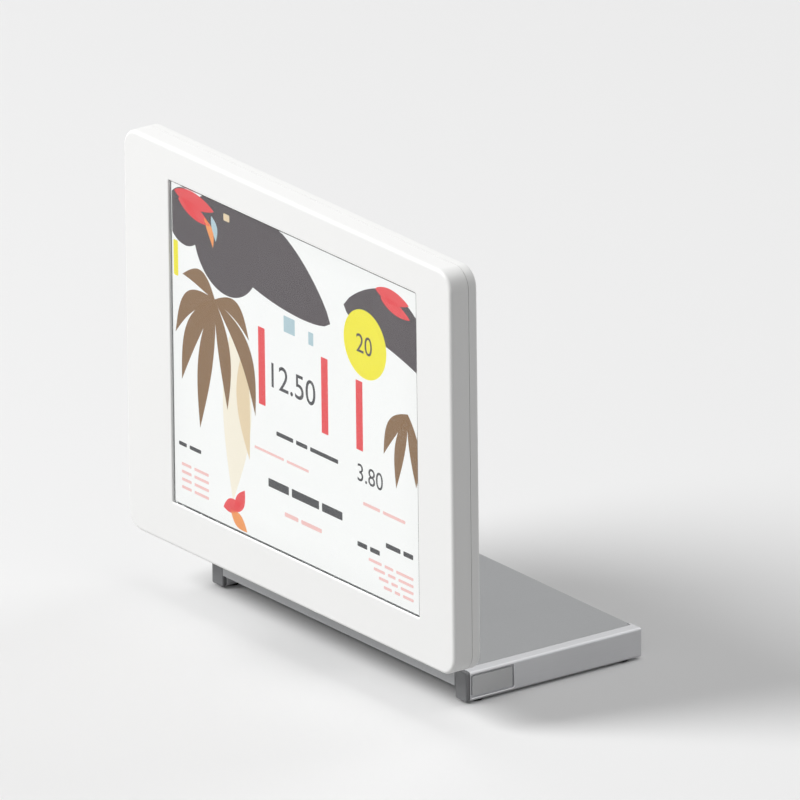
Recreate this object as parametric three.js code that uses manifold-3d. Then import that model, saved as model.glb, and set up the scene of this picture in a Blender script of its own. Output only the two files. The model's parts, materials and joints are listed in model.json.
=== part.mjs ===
// Customer display on a low desk stand: a flat screen on a friction tilt hinge, carried by a short
// neck on a wide steel stand. Millimetres, +Z up, the screen faces -Y.
// The origin is on the counter, under the middle of the whole display.
import * as THREE from "three";
import { mergeVertices } from "three/addons/utils/BufferGeometryUtils.js";
import Module from "manifold-3d";

const wasm = await Module();
wasm.setup();

// ---- Driving dimensions ----

// Screen housing
const HOUSING_W = 296;
const HOUSING_H = 226;
const HOUSING_D = 18;
const HOUSING_LIFT = 31; // counter to the housing's lower edge
const HOUSING_CORNER = 11; // corner radius seen from the front
const HOUSING_EDGE = 2; // rounding between the faces and the sides
const HOUSING_WALL = 2.2;
const PARTING_DEPTH = 12; // front face to the line between bezel and rear cover
const BEZEL_LEFT = 41;
const BEZEL_RIGHT = 31;
const BEZEL_TOP = 19;
const BEZEL_BOTTOM = 25;

// Raised box on the rear cover, with the electronics behind the mounting bosses
const BULGE_W = 190;
const BULGE_H = 130;
const BULGE_D = 8;
const BULGE_CORNER = 10;
const BULGE_EDGE = 2;
const VENT_COUNT = 8; // slots in each column
const VENT_PITCH = 7;
const VENT_H = 2.4;
const VENT_MARGIN = 10; // from a slot's ends to the bracket and to the bulge's side

// Screen stack, front to back
const LENS_RECESS = 0.3;
const LENS_T = 1.8;
const TAPE_T = 0.5;
const LEDGE_W = 3; // how far the bezel's inner ledge reaches behind the lens
const LEDGE_T = 1.2;
const LEDGE_RIM = 3; // wall round the lens, outside the window
const CLAMP_T = 0.8;
const CELL_LAP = 4.5; // how far the LCD cell reaches behind the bezel
const CELL_T = 1.4;
const SHEETS_T = 0.5;
const GUIDE_T = 2.5;
const REFLECTOR_T = 0.4;
const CHASSIS_T = 0.8;
const LED_COUNT = 16;
const LED_W = 4;
const LED_BAR_H = 2;

// Inner frame and boards
const FRAME_T = 1.5;
const FRAME_CORNER = 4;
const FRAME_SIDE_ROOM = 17; // space beside the inner frame, where the ribbon passes
const BOSS_D = 8;
const STANDOFF_H = 1.2;
const STANDOFF_D = 5;
const BOARD_ROOM = 1.5; // from the bulge's inner wall to the frame and the board
const BOARD_T = 1.6;
const BOARD_W = 140;
const BOARD_H = 48;
const RIBBON_W = 18;
const RIBBON_T = 0.4;

// Rear keys
const KEY_NAMES = ["key_power", "key_menu", "key_minus", "key_plus", "key_source"];
const KEY_W = 8;
const KEY_H = 5;
const KEY_PITCH = 14;
const KEY_FIRST_HEIGHT = 60; // lowest key above the housing's lower edge
const KEY_INSET = 18; // key column to the side of the housing
const KEY_CORNER = 1.2;
const KEY_PROUD = 0.8;
const KEY_TRAVEL = 0.8;
const KEY_FLANGE_T = 1.1;
const KEY_FLANGE_W = 1.2; // how far the flange reaches past the cap
const KEY_STEM_D = 3;
const KEY_STEM_L = 0.9;
const KEY_BOARD_W = 16;
const KEY_BOARD_T = 1.2;
const KEY_BOARD_END = 12; // from the last key to the board's end
const KEY_POST_D = 5;
const SWITCH_W = 6;
const SWITCH_H = 3.4;

// Sockets
const SOCKET_DEPTH = 12;
const SOCKET_H = 5.6;
const SOCKET_WALL = 0.6;
const SOCKETS = {
  dc_socket: { x: -42, width: 9 },
  usb_socket: { x: 22, width: 9 },
  video_socket: { x: 44, width: 15 },
};

// Tilt hinge
const MOUNT_PITCH = 75; // square pattern of the four bracket screws
const BRACKET_MARGIN = 9.5; // from the screws to the bracket's edge
const BRACKET_T = 2.5;
const HINGE_HEIGHT = 95; // axis above the housing's lower edge
const HINGE_REACH = 14.2; // axis behind the bracket's plate
const EAR_R = 12;
const CHEEK_R = 13;
const CHEEK_T = 3;
const NECK_W = 66;
const NECK_D = 16.5;
const NECK_BEHIND = 12; // hinge axis to the back of the upright
const AXLE_D = 8;
const HEX_R = 7;
const HEX_T = 4.5;
const SPACER_R = 6;
const SPRING_WASHER_T = 1.4;
const CAP_R = 11;
const CAP_DEPTH = 11.5;
const CAP_WALL = 1.8;
const CAP_EDGE = 2;
const FRICTION_WASHER_T = 1.2;
const WASHER_R = 6.2;
const STOP_R = 8.2; // hinge axis to the stop pin
const STOP_PIN_D = 3;
const TILT_BACK = 20; // degrees
const TILT_FORWARD = 5; // degrees
const TILT_PLAY = 2; // degrees left free at each end of the slot

// Stand
const STAND_W = 231;
const STAND_D = 115;
const STAND_H = 17.5;
const STAND_SETBACK = 31; // front face of the screen to the stand's front edge
const PLATE_T = 2.5;
const FLANGE_H = 9.7;
const RAIL_W = 10;
const RAIL_SEAT_W = 3; // step in the rail that carries the plate's edge
const RAIL_EDGE = 1.2;
const RAIL_SIDE_WALL = 3;
const RAIL_INNER_WALL = 2;
const END_CAP_T = 2.5;
const INLAY_L = 28;
const INLAY_MARGIN = 1.75; // above and below the inlay
const INLAY_START = 3.5; // behind the rail's front end
const INLAY_DEPTH = 1.5;
const INLAY_GROOVE = 1; // open line round the inlay
const FOOT_D = 8;
const FOOT_T = 2.2;
const FOOT_PROUD = 1;
const FOOT_INSET = 10;
const BALLAST_W = 160;
const BALLAST_D = 80;
const BALLAST_T = 9.5;
const BALLAST_CORNER = 3;
const BALLAST_REAR = 4; // behind the ballast, to the plate's rear lip
const NECK_FLANGE_D = 37;
const NECK_SCREW_SIDE = 20; // neck screws, to each side of the middle
const NECK_SCREW_ROWS = [11, 29]; // neck screws, behind the upright
const COVER_WALL = 2;
const COVER_CORNER = 4;
const COVER_BELOW = 2; // top of the neck cover, below the top of the web

// Fasteners
const HOUSING_SCREW = { d: 3, length: 9, headD: 5.6, headH: 1.8 };
const BRACKET_SCREW = { d: 4, length: 9, headD: 8, headH: 2.4 };
const NECK_SCREW = { d: 4, length: 12, headD: 7.6, headH: 2.2 };
const HOUSING_POST_INSET = 9.5; // housing screws, from the housing's sides
const HOUSING_POST_D = 7;
const COUNTERBORE = 1.2;

// Fits
const GAP = 0.3; // between pieces that seat on or in each other
const BITE = 1; // how far a cutter or a joined body reaches past a face
const SOLDER = 0.2; // how far a soldered part sits in its board
const ROUND = 20; // sides of a large circle
const SMALL_ROUND = 12;
const TINY_ROUND = 8;

// ---- Places worked out from the driving dimensions ----

const SCREEN_W = HOUSING_W - BEZEL_LEFT - BEZEL_RIGHT;
const SCREEN_H = HOUSING_H - BEZEL_TOP - BEZEL_BOTTOM;
const SCREEN_X = (BEZEL_LEFT - BEZEL_RIGHT) / 2;
const SCREEN_Z = BEZEL_BOTTOM + SCREEN_H / 2;
const MIDDLE_Z = HOUSING_H / 2;

const LENS_BACK = LENS_RECESS + LENS_T;
const TAPE_FRONT = LENS_BACK + GAP;
const LEDGE_FRONT = TAPE_FRONT + TAPE_T + GAP;
const LEDGE_BACK = LEDGE_FRONT + LEDGE_T;
const CLAMP_FRONT = LEDGE_BACK + GAP;
const CELL_FRONT = CLAMP_FRONT + CLAMP_T + GAP;
const SHEETS_FRONT = CELL_FRONT + CELL_T + GAP;
const GUIDE_FRONT = SHEETS_FRONT + SHEETS_T + GAP;
const GUIDE_BACK = GUIDE_FRONT + GUIDE_T;
const REFLECTOR_FRONT = GUIDE_BACK + GAP;
const CHASSIS_FLOOR = REFLECTOR_FRONT + REFLECTOR_T + GAP;
const CHASSIS_BACK = CHASSIS_FLOOR + CHASSIS_T;
const FRAME_FRONT = CHASSIS_BACK + GAP;
const FRAME_BACK = FRAME_FRONT + FRAME_T;
const BOARD_FRONT = FRAME_BACK + STANDOFF_H + GAP;
const BOARD_BACK = BOARD_FRONT + BOARD_T;
const COVER_INNER = HOUSING_D - HOUSING_WALL;
const BULGE_BACK = HOUSING_D + BULGE_D;
const BULGE_INNER = BULGE_BACK - HOUSING_WALL;
const BULGE_BOTTOM = MIDDLE_Z - BULGE_H / 2;

const KEY_FLANGE_BACK = COVER_INNER - GAP;
const KEY_FLANGE_FRONT = KEY_FLANGE_BACK - KEY_FLANGE_T;
const KEY_STEM_FRONT = KEY_FLANGE_FRONT - KEY_STEM_L;
const KEY_BOARD_BACK = KEY_STEM_FRONT - KEY_TRAVEL - GAP - SWITCH_H;
const KEY_BOARD_FRONT = KEY_BOARD_BACK - KEY_BOARD_T;
const HOUSING_SCREW_SEAT = HOUSING_D - COUNTERBORE;
const HOUSING_SCREW_TIP = HOUSING_SCREW_SEAT - HOUSING_SCREW.length;
const SOCKET_FRONT = BOARD_BACK + GAP;
const SOCKET_BOTTOM = BULGE_BOTTOM + GAP;

const CELL_W = SCREEN_W + 2 * CELL_LAP;
const CELL_H = SCREEN_H + 2 * CELL_LAP;
const TRAY_W = CELL_W - 2 * (CHASSIS_T + GAP); // what lies inside the chassis
const TRAY_H = CELL_H - 2 * (CHASSIS_T + GAP);

const BRACKET_FRONT = BULGE_BACK + GAP;
const BRACKET_BACK = BRACKET_FRONT + BRACKET_T;
const BRACKET_SIZE = MOUNT_PITCH + 2 * BRACKET_MARGIN;
const HINGE_BACK = BRACKET_BACK + HINGE_REACH;
const CHEEK_INNER = NECK_W / 2 - CHEEK_T;
const EAR_OUTER = CHEEK_INNER - FRICTION_WASHER_T - 2 * GAP;
const EAR_INNER = EAR_OUTER - BRACKET_T;
const NECK_BACK = HINGE_BACK + NECK_BEHIND;
const NECK_FRONT = NECK_BACK - NECK_D;
const HINGE_TOP = HOUSING_LIFT + HINGE_HEIGHT; // axis above the counter
const WEB_TOP = HINGE_TOP - CHEEK_R - CHEEK_T;
const COVER_TOP = WEB_TOP - COVER_BELOW;

const PLATE_BOTTOM = STAND_H - PLATE_T;
const RAIL_INNER = STAND_W / 2 - RAIL_W;
const INLAY_H = STAND_H - FOOT_PROUD - 2 * INLAY_MARGIN;
const ROOT_D = STAND_SETBACK + STAND_D; // front face to the stand's rear edge

// ---- Solids ----

// A closed geometry as a solid that can be joined and cut.
function solid(geometry) {
  const bare = new THREE.BufferGeometry();
  const plain = geometry.index ? geometry.toNonIndexed() : geometry;
  bare.setAttribute("position", plain.getAttribute("position"));
  const merged = mergeVertices(bare, 1e-4);
  return new wasm.Manifold(
    new wasm.Mesh({
      numProp: 3,
      vertProperties: merged.attributes.position.array,
      triVerts: new Uint32Array(merged.index.array),
    }),
  );
}

// A solid back as a geometry for a mesh.
function geometryOf(body) {
  const { numProp, vertProperties, triVerts } = body.getMesh();
  const data = new THREE.InterleavedBuffer(vertProperties, numProp);
  const geometry = new THREE.BufferGeometry();
  geometry.setAttribute("position", new THREE.InterleavedBufferAttribute(data, 3, 0));
  geometry.setIndex(new THREE.BufferAttribute(triVerts, 1));
  const flat = geometry.toNonIndexed();
  flat.computeVertexNormals();
  return flat;
}

const join = (first, ...others) => others.reduce((body, other) => body.add(other), first);
const cut = (first, ...others) => others.reduce((body, other) => body.subtract(other), first);

// A box from its low to its high corner.
function box([x0, y0, z0], [x1, y1, z1]) {
  const geometry = new THREE.BoxGeometry(x1 - x0, y1 - y0, z1 - z0);
  return solid(geometry.translate((x0 + x1) / 2, (y0 + y1) / 2, (z0 + z1) / 2));
}

// A rectangle with round corners, centred at (cx, cy).
function roundedRect(width, height, radius, cx = 0, cy = 0) {
  const x = cx - width / 2;
  const y = cy - height / 2;
  const shape = new THREE.Shape();
  shape.moveTo(x + radius, y);
  shape.lineTo(x + width - radius, y);
  shape.absarc(x + width - radius, y + radius, radius, -Math.PI / 2, 0, false);
  shape.lineTo(x + width, y + height - radius);
  shape.absarc(x + width - radius, y + height - radius, radius, 0, Math.PI / 2, false);
  shape.lineTo(x + radius, y + height);
  shape.absarc(x + radius, y + height - radius, radius, Math.PI / 2, Math.PI, false);
  shape.lineTo(x, y + radius);
  shape.absarc(x + radius, y + radius, radius, Math.PI, 1.5 * Math.PI, false);
  return shape;
}

// An outline drawn in (x, z), extruded from depth y0 to y1. Its end faces can be rounded.
function slabY(outline, y0, y1, { edge = 0, sides = 2, steps = 2 } = {}) {
  const geometry = new THREE.ExtrudeGeometry(outline, {
    depth: y1 - y0 - 2 * edge,
    bevelEnabled: edge > 0,
    bevelThickness: edge,
    bevelSize: edge,
    bevelOffset: -edge,
    bevelSegments: steps,
    curveSegments: sides,
  });
  return solid(geometry.rotateX(Math.PI / 2).translate(0, y1 - edge, 0));
}

// An outline drawn in (x, y), extruded from height z0 to z1.
function slabZ(outline, z0, z1, sides = 2) {
  const geometry = new THREE.ExtrudeGeometry(outline, {
    depth: z1 - z0,
    bevelEnabled: false,
    curveSegments: sides,
  });
  return solid(geometry.translate(0, 0, z0));
}

// An outline drawn in (y, z), extruded from x0 to x1.
function slabX(outline, x0, x1, sides = 2) {
  const geometry = new THREE.ExtrudeGeometry(outline, {
    depth: x1 - x0,
    bevelEnabled: false,
    curveSegments: sides,
  });
  geometry.rotateZ(Math.PI / 2).rotateY(Math.PI / 2);
  return solid(geometry.translate(x0, 0, 0));
}

// A round bar along X, Y or Z, from one coordinate to another on that axis.
function rod(axis, radius, from, to, [a, b], sides = ROUND) {
  const geometry = new THREE.CylinderGeometry(radius, radius, to - from, sides);
  const middle = (from + to) / 2;
  if (axis === "x") geometry.rotateZ(-Math.PI / 2).translate(middle, a, b);
  if (axis === "y") geometry.translate(a, middle, b);
  if (axis === "z") geometry.rotateX(Math.PI / 2).translate(a, b, middle);
  return solid(geometry);
}

// A pan-head screw on its own axis: the shaft points down -Y from the head's seat at y = 0.
function panScrew({ d, length, headD, headH }) {
  const profile = [
    [0, -length],
    [d / 2, -length],
    [d / 2, 0],
    [headD / 2, 0],
    [headD / 2, headH / 2],
    [headD / 3, headH],
    [0, headH],
  ].map(([x, y]) => new THREE.Vector2(x, y));
  return geometryOf(solid(new THREE.LatheGeometry(profile, SMALL_ROUND)));
}

// ---- Materials ----

const finish = (color, roughness, metalness = 0) =>
  new THREE.MeshStandardMaterial({ color, roughness, metalness });

const FINISH = {
  white: () => finish(0xf4f4f2, 0.45),
  lightGrey: () => finish(0xc9cacc, 0.5),
  darkGrey: () => finish(0x5b5d60, 0.6),
  black: () => finish(0x1b1b1c, 0.7),
  lens: () => finish(0xe8ecef, 0.05),
  screen: () => finish(0xf7f7f5, 0.3),
  film: () => finish(0xeceff2, 0.4),
  acrylic: () => finish(0xdfe6ea, 0.15),
  steel: () => finish(0xb3b5b8, 0.35, 1),
  coatedSteel: () => finish(0xbfc1c3, 0.5, 0.2),
  aluminium: () => finish(0xc4c6c8, 0.4, 0.8),
  board: () => finish(0x1f5a3a, 0.6),
  rubber: () => finish(0x222222, 0.9),
  brass: () => finish(0xc9a24b, 0.4, 1),
};

function piece(name, body, material, group) {
  const geometry = body.isBufferGeometry ? body : geometryOf(body);
  const mesh = new THREE.Mesh(geometry, material());
  mesh.name = name;
  group.add(mesh);
  return mesh;
}

// ---- Groups ----
// The whole display measures depth from the screen's front face, so one shift centres it.

const display = new THREE.Group();
const shifted = new THREE.Group();
shifted.position.y = -ROOT_D / 2;
display.add(shifted);

const head = new THREE.Group(); // depth from the front face, height from the housing's lower edge
head.position.z = HOUSING_LIFT;
const hinge = new THREE.Group(); // centred on the hinge axis
hinge.position.set(0, HINGE_BACK, HINGE_TOP);
const neck = new THREE.Group(); // depth from the front face, height from the counter
const stand = new THREE.Group(); // depth from the stand's front edge, height from the counter
stand.position.y = STAND_SETBACK;
shifted.add(head, hinge, neck, stand);

// ---- Housing ----

const housingScrewSpots = [-1, 1].flatMap((side) =>
  [HOUSING_POST_INSET, HOUSING_H - HOUSING_POST_INSET].map((z) => [
    side * (HOUSING_W / 2 - HOUSING_POST_INSET),
    z,
  ]),
);
const mountSpots = [-1, 1].flatMap((side) =>
  [-1, 1].map((row) => [(side * MOUNT_PITCH) / 2, MIDDLE_Z + (row * MOUNT_PITCH) / 2]),
);
const keyX = -(HOUSING_W / 2 - KEY_INSET);
const keyHeights = KEY_NAMES.map((_, i) => KEY_FIRST_HEIGHT + i * KEY_PITCH);
const KEY_LOW = keyHeights[0] - KEY_BOARD_END + KEY_POST_D / 2;
const KEY_HIGH = keyHeights.at(-1) + KEY_BOARD_END - KEY_POST_D / 2;

const housingOutline = (inset = 0) =>
  roundedRect(HOUSING_W - 2 * inset, HOUSING_H - 2 * inset, HOUSING_CORNER - inset, 0, MIDDLE_Z);
const bulgeOutline = (inset = 0) =>
  roundedRect(BULGE_W - 2 * inset, BULGE_H - 2 * inset, BULGE_CORNER - inset, 0, MIDDLE_Z);
const screenOutline = (grow, radius = 1) =>
  roundedRect(SCREEN_W + 2 * grow, SCREEN_H + 2 * grow, radius, SCREEN_X, SCREEN_Z);
const everything = (y0, y1) =>
  box([-HOUSING_W, y0, -HOUSING_H], [HOUSING_W, y1, 2 * HOUSING_H]);

// The full outside of the housing without the bulge, round at both faces.
const housingBlock = () => slabY(housingOutline(), 0, HOUSING_D, { edge: HOUSING_EDGE, sides: 3 });

function frontBezel() {
  const back = PARTING_DEPTH - GAP / 2;
  const shell = cut(
    housingBlock(),
    everything(back, 2 * HOUSING_D),
    slabY(housingOutline(HOUSING_WALL), HOUSING_WALL, HOUSING_D + BITE),
  );
  const ledge = slabY(screenOutline(LEDGE_RIM), HOUSING_WALL - BITE / 2, LEDGE_BACK);
  const posts = housingScrewSpots.map(([x, z]) => {
    const bore = HOUSING_SCREW.d / 2 + GAP;
    return cut(
      rod("y", HOUSING_POST_D / 2, HOUSING_WALL - BITE / 2, back, [x, z], SMALL_ROUND),
      rod("y", bore, HOUSING_SCREW_TIP - GAP, back + BITE, [x, z], SMALL_ROUND),
    );
  });
  const keyPosts = [KEY_LOW, KEY_HIGH].map((z) => {
    const top = KEY_BOARD_FRONT - GAP;
    return rod("y", KEY_POST_D / 2, HOUSING_WALL - BITE / 2, top, [keyX, z], SMALL_ROUND);
  });
  const window = slabY(screenOutline(0), -BITE, LEDGE_FRONT, { sides: 1 });
  const view = slabY(screenOutline(-LEDGE_W), -BITE, LEDGE_BACK + BITE, { sides: 1 });
  return cut(join(shell, ledge, ...posts, ...keyPosts), window, view);
}

function rearCover() {
  const front = PARTING_DEPTH + GAP / 2;
  const headBore = HOUSING_SCREW.headD / 2 + GAP;
  const block = join(
    cut(housingBlock(), everything(-BITE, front)),
    slabY(bulgeOutline(), HOUSING_D - HOUSING_EDGE - BITE, BULGE_BACK, { edge: BULGE_EDGE }),
  );
  const hollow = join(
    slabY(housingOutline(HOUSING_WALL), 0, COVER_INNER),
    slabY(bulgeOutline(HOUSING_WALL), 0, BULGE_INNER),
  );
  const posts = housingScrewSpots.map(([x, z]) =>
    rod("y", HOUSING_POST_D / 2, front, COVER_INNER + BITE / 2, [x, z], SMALL_ROUND),
  );
  const screwHoles = housingScrewSpots.flatMap(([x, z]) => [
    rod("y", HOUSING_SCREW.d / 2 + GAP, 0, HOUSING_D, [x, z], SMALL_ROUND),
    rod("y", headBore, HOUSING_SCREW_SEAT, HOUSING_D + BITE, [x, z], SMALL_ROUND),
  ]);
  const mountHoles = mountSpots.map(([x, z]) =>
    rod("y", BRACKET_SCREW.d / 2 + GAP, HOUSING_D, BULGE_BACK + BITE, [x, z], SMALL_ROUND),
  );
  const keyHoles = keyHeights.map((z) =>
    slabY(
      roundedRect(KEY_W + 2 * GAP, KEY_H + 2 * GAP, KEY_CORNER + GAP, keyX, z),
      COVER_INNER - BITE,
      HOUSING_D + BITE,
      { sides: 1 },
    ),
  );
  const socketHoles = Object.values(SOCKETS).map(({ x, width }) => {
    const half = width / 2 + GAP;
    return box(
      [x - half, SOCKET_FRONT - GAP, BULGE_BOTTOM - BITE],
      [x + half, SOCKET_FRONT + SOCKET_H + GAP, BULGE_BOTTOM + HOUSING_WALL + BITE],
    );
  });
  return cut(
    join(cut(block, hollow), ...posts),
    ...screwHoles,
    ...mountHoles,
    ...keyHoles,
    ...socketHoles,
    ...ventSlots(),
  );
}

// Two columns of cooling slots in the bulge's back, one on each side of the bracket.
function ventSlots() {
  const width = (BULGE_W - BRACKET_SIZE) / 2 - 2 * VENT_MARGIN;
  const middle = (BULGE_W + BRACKET_SIZE) / 4;
  return [-1, 1].flatMap((side) =>
    Array.from({ length: VENT_COUNT }, (_, i) => {
      const z = MIDDLE_Z + (i - (VENT_COUNT - 1) / 2) * VENT_PITCH;
      return box(
        [side * middle - width / 2, BULGE_INNER - BITE, z - VENT_H / 2],
        [side * middle + width / 2, BULGE_BACK + BITE, z + VENT_H / 2],
      );
    }),
  );
}

piece("front_bezel", frontBezel(), FINISH.white, head);
piece("rear_cover", rearCover(), FINISH.white, head);
housingScrewSpots.forEach(([x, z], i) => {
  const screw = piece(`housing_screw_${i + 1}`, panScrew(HOUSING_SCREW), FINISH.steel, head);
  screw.position.set(x, HOUSING_SCREW_SEAT + GAP, z);
});

// ---- Screen stack ----

const screenSlab = (width, height, y0, y1, radius = 0.8) =>
  slabY(roundedRect(width, height, radius, SCREEN_X, SCREEN_Z), y0, y1, { sides: 1 });

function lensTape() {
  const ring = screenSlab(SCREEN_W - 2 * GAP, SCREEN_H - 2 * GAP, TAPE_FRONT, TAPE_FRONT + TAPE_T);
  const view = screenSlab(SCREEN_W - 2 * LEDGE_W, SCREEN_H - 2 * LEDGE_W, 0, HOUSING_D);
  return cut(ring, view);
}

function lcdClamp() {
  const wide = CELL_W + 2 * (GAP + CLAMP_T);
  const high = CELL_H + 2 * (GAP + CLAMP_T);
  const outer = screenSlab(wide, high, CLAMP_FRONT, GUIDE_BACK - BITE);
  const inner = screenSlab(CELL_W + 2 * GAP, CELL_H + 2 * GAP, CELL_FRONT - GAP, HOUSING_D);
  const view = screenSlab(SCREEN_W - LEDGE_W, SCREEN_H - LEDGE_W, 0, HOUSING_D);
  return cut(outer, inner, view);
}

function lcdChassis() {
  const outer = screenSlab(CELL_W, CELL_H, SHEETS_FRONT, CHASSIS_BACK);
  const inner = screenSlab(CELL_W - 2 * CHASSIS_T, CELL_H - 2 * CHASSIS_T, 0, CHASSIS_FLOOR);
  return cut(outer, inner);
}

const TRAY_BOTTOM = SCREEN_Z - TRAY_H / 2;

// A bar along the lower edge of the light guide, with a row of light sources on its upper face.
function ledStrip() {
  const bar = box(
    [SCREEN_X - TRAY_W / 2, GUIDE_FRONT, TRAY_BOTTOM],
    [SCREEN_X + TRAY_W / 2, GUIDE_BACK, TRAY_BOTTOM + LED_BAR_H / 2],
  );
  const leds = Array.from({ length: LED_COUNT }, (_, i) => {
    const x = SCREEN_X + ((i + 0.5) / LED_COUNT - 0.5) * TRAY_W;
    return box(
      [x - LED_W / 2, GUIDE_FRONT + GAP, TRAY_BOTTOM + LED_BAR_H / 2 - SOLDER],
      [x + LED_W / 2, GUIDE_BACK - GAP, TRAY_BOTTOM + LED_BAR_H],
    );
  });
  return join(bar, ...leds);
}

function lightGuide() {
  const low = TRAY_BOTTOM + LED_BAR_H + GAP;
  return box(
    [SCREEN_X - TRAY_W / 2, GUIDE_FRONT, low],
    [SCREEN_X + TRAY_W / 2, GUIDE_BACK, TRAY_BOTTOM + TRAY_H],
  );
}

piece(
  "lens_glass",
  screenSlab(SCREEN_W - 2 * GAP, SCREEN_H - 2 * GAP, LENS_RECESS, LENS_BACK),
  FINISH.lens,
  head,
);
piece("lens_tape", lensTape(), FINISH.black, head);
piece("lcd_clamp", lcdClamp(), FINISH.steel, head);
piece("lcd_cell", screenSlab(CELL_W, CELL_H, CELL_FRONT, CELL_FRONT + CELL_T), FINISH.screen, head);
piece(
  "optical_sheets",
  screenSlab(TRAY_W, TRAY_H, SHEETS_FRONT, SHEETS_FRONT + SHEETS_T),
  FINISH.film,
  head,
);
piece("light_guide", lightGuide(), FINISH.acrylic, head);
piece("led_strip", ledStrip(), FINISH.white, head);
piece(
  "reflector_sheet",
  screenSlab(TRAY_W, TRAY_H, REFLECTOR_FRONT, REFLECTOR_FRONT + REFLECTOR_T),
  FINISH.film,
  head,
);
piece("lcd_chassis", lcdChassis(), FINISH.aluminium, head);

// ---- Inner frame and boards ----

const BOARD_BOTTOM = BULGE_BOTTOM + HOUSING_WALL + BOARD_ROOM;
const boardStandoffs = [-1, 1].flatMap((side) =>
  [STANDOFF_D, BOARD_H - STANDOFF_D].map((rise) => [
    side * (BOARD_W / 2 - STANDOFF_D),
    BOARD_BOTTOM + rise,
  ]),
);

function innerFrame() {
  const wide = BULGE_W - 2 * (HOUSING_WALL + FRAME_SIDE_ROOM);
  const high = BULGE_H - 2 * (HOUSING_WALL + BOARD_ROOM);
  const sheet = slabY(roundedRect(wide, high, FRAME_CORNER, 0, MIDDLE_Z), FRAME_FRONT, FRAME_BACK);
  const bosses = mountSpots.map(([x, z]) =>
    rod("y", BOSS_D / 2, FRAME_BACK - BITE, BULGE_INNER - GAP, [x, z], SMALL_ROUND),
  );
  const threads = mountSpots.map(([x, z]) =>
    rod("y", BRACKET_SCREW.d / 2 + GAP, FRAME_BACK, BULGE_INNER + BITE, [x, z], SMALL_ROUND),
  );
  const standoffs = boardStandoffs.map(([x, z]) =>
    rod("y", STANDOFF_D / 2, FRAME_BACK - BITE, FRAME_BACK + STANDOFF_H, [x, z], TINY_ROUND),
  );
  return cut(join(sheet, ...bosses, ...standoffs), ...threads);
}

// The circuit board with its soldered parts, cut round the mounting bosses.
function controlBoard() {
  const top = BOARD_BOTTOM + BOARD_H;
  const board = box([-BOARD_W / 2, BOARD_FRONT, BOARD_BOTTOM], [BOARD_W / 2, BOARD_BACK, top]);
  const bossHoles = mountSpots.map(([x, z]) =>
    rod("y", BOSS_D / 2 + GAP, BOARD_FRONT - BITE, BOARD_BACK + BITE, [x, z], SMALL_ROUND),
  );
  const soldered = [
    { x: -2, rise: 30, w: 16, h: 16, t: 1.8 },
    { x: 18, rise: 34, w: 9, h: 11, t: 1.2 },
    { x: -22, rise: 20, w: 8, h: 8, t: 4 },
    { x: -22, rise: 36, w: 5, h: 9, t: 2.2 },
    { x: 60, rise: 38, w: 10, h: 5, t: 3 },
  ].map(({ x, rise, w, h, t }) =>
    box(
      [x - w / 2, BOARD_BACK - SOLDER, BOARD_BOTTOM + rise - h / 2],
      [x + w / 2, BOARD_BACK + t, BOARD_BOTTOM + rise + h / 2],
    ),
  );
  const capacitors = [-9, 4].map((x) =>
    rod("y", 3, BOARD_BACK - SOLDER, BOARD_BACK + 5, [x, BOARD_BOTTOM + 14], TINY_ROUND),
  );
  return join(cut(board, ...bossHoles), ...soldered, ...capacitors);
}

// A socket's shell, open downwards, with what stands inside it.
function socket(name) {
  const { x, width } = SOCKETS[name];
  const half = width / 2;
  const back = SOCKET_FRONT + SOCKET_H;
  const middle = (SOCKET_FRONT + back) / 2;
  const shell = box([x - half, SOCKET_FRONT, SOCKET_BOTTOM], [x + half, back, SOCKET_BOTTOM + SOCKET_DEPTH]);
  const deep = SOCKET_BOTTOM + SOCKET_DEPTH - 2;
  if (name === "dc_socket") {
    const bore = rod("z", 2.4, SOCKET_BOTTOM - BITE, deep, [x, middle]);
    const pin = rod("z", 0.8, SOCKET_BOTTOM + 1, deep + BITE, [x, middle], SMALL_ROUND);
    return join(cut(shell, bore), pin);
  }
  const mouth = box(
    [x - half + SOCKET_WALL, SOCKET_FRONT + SOCKET_WALL, SOCKET_BOTTOM - BITE],
    [x + half - SOCKET_WALL, back - SOCKET_WALL, deep],
  );
  const tongue = box(
    [x - half + 2, middle - SOCKET_WALL, SOCKET_BOTTOM + BITE],
    [x + half - 2, middle + SOCKET_WALL, deep + BITE],
  );
  return join(cut(shell, mouth), tongue);
}

function keyBoard() {
  const board = box(
    [keyX - KEY_BOARD_W / 2, KEY_BOARD_FRONT, keyHeights[0] - KEY_BOARD_END],
    [keyX + KEY_BOARD_W / 2, KEY_BOARD_BACK, keyHeights.at(-1) + KEY_BOARD_END],
  );
  const half = SWITCH_W / 2;
  const switches = keyHeights.flatMap((z) => [
    box(
      [keyX - half, KEY_BOARD_BACK - SOLDER, z - half],
      [keyX + half, KEY_BOARD_BACK + SWITCH_H - BITE, z + half],
    ),
    rod("y", KEY_STEM_D / 2, KEY_BOARD_BACK, KEY_BOARD_BACK + SWITCH_H, [keyX, z], TINY_ROUND),
  ]);
  return join(board, ...switches);
}

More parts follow.
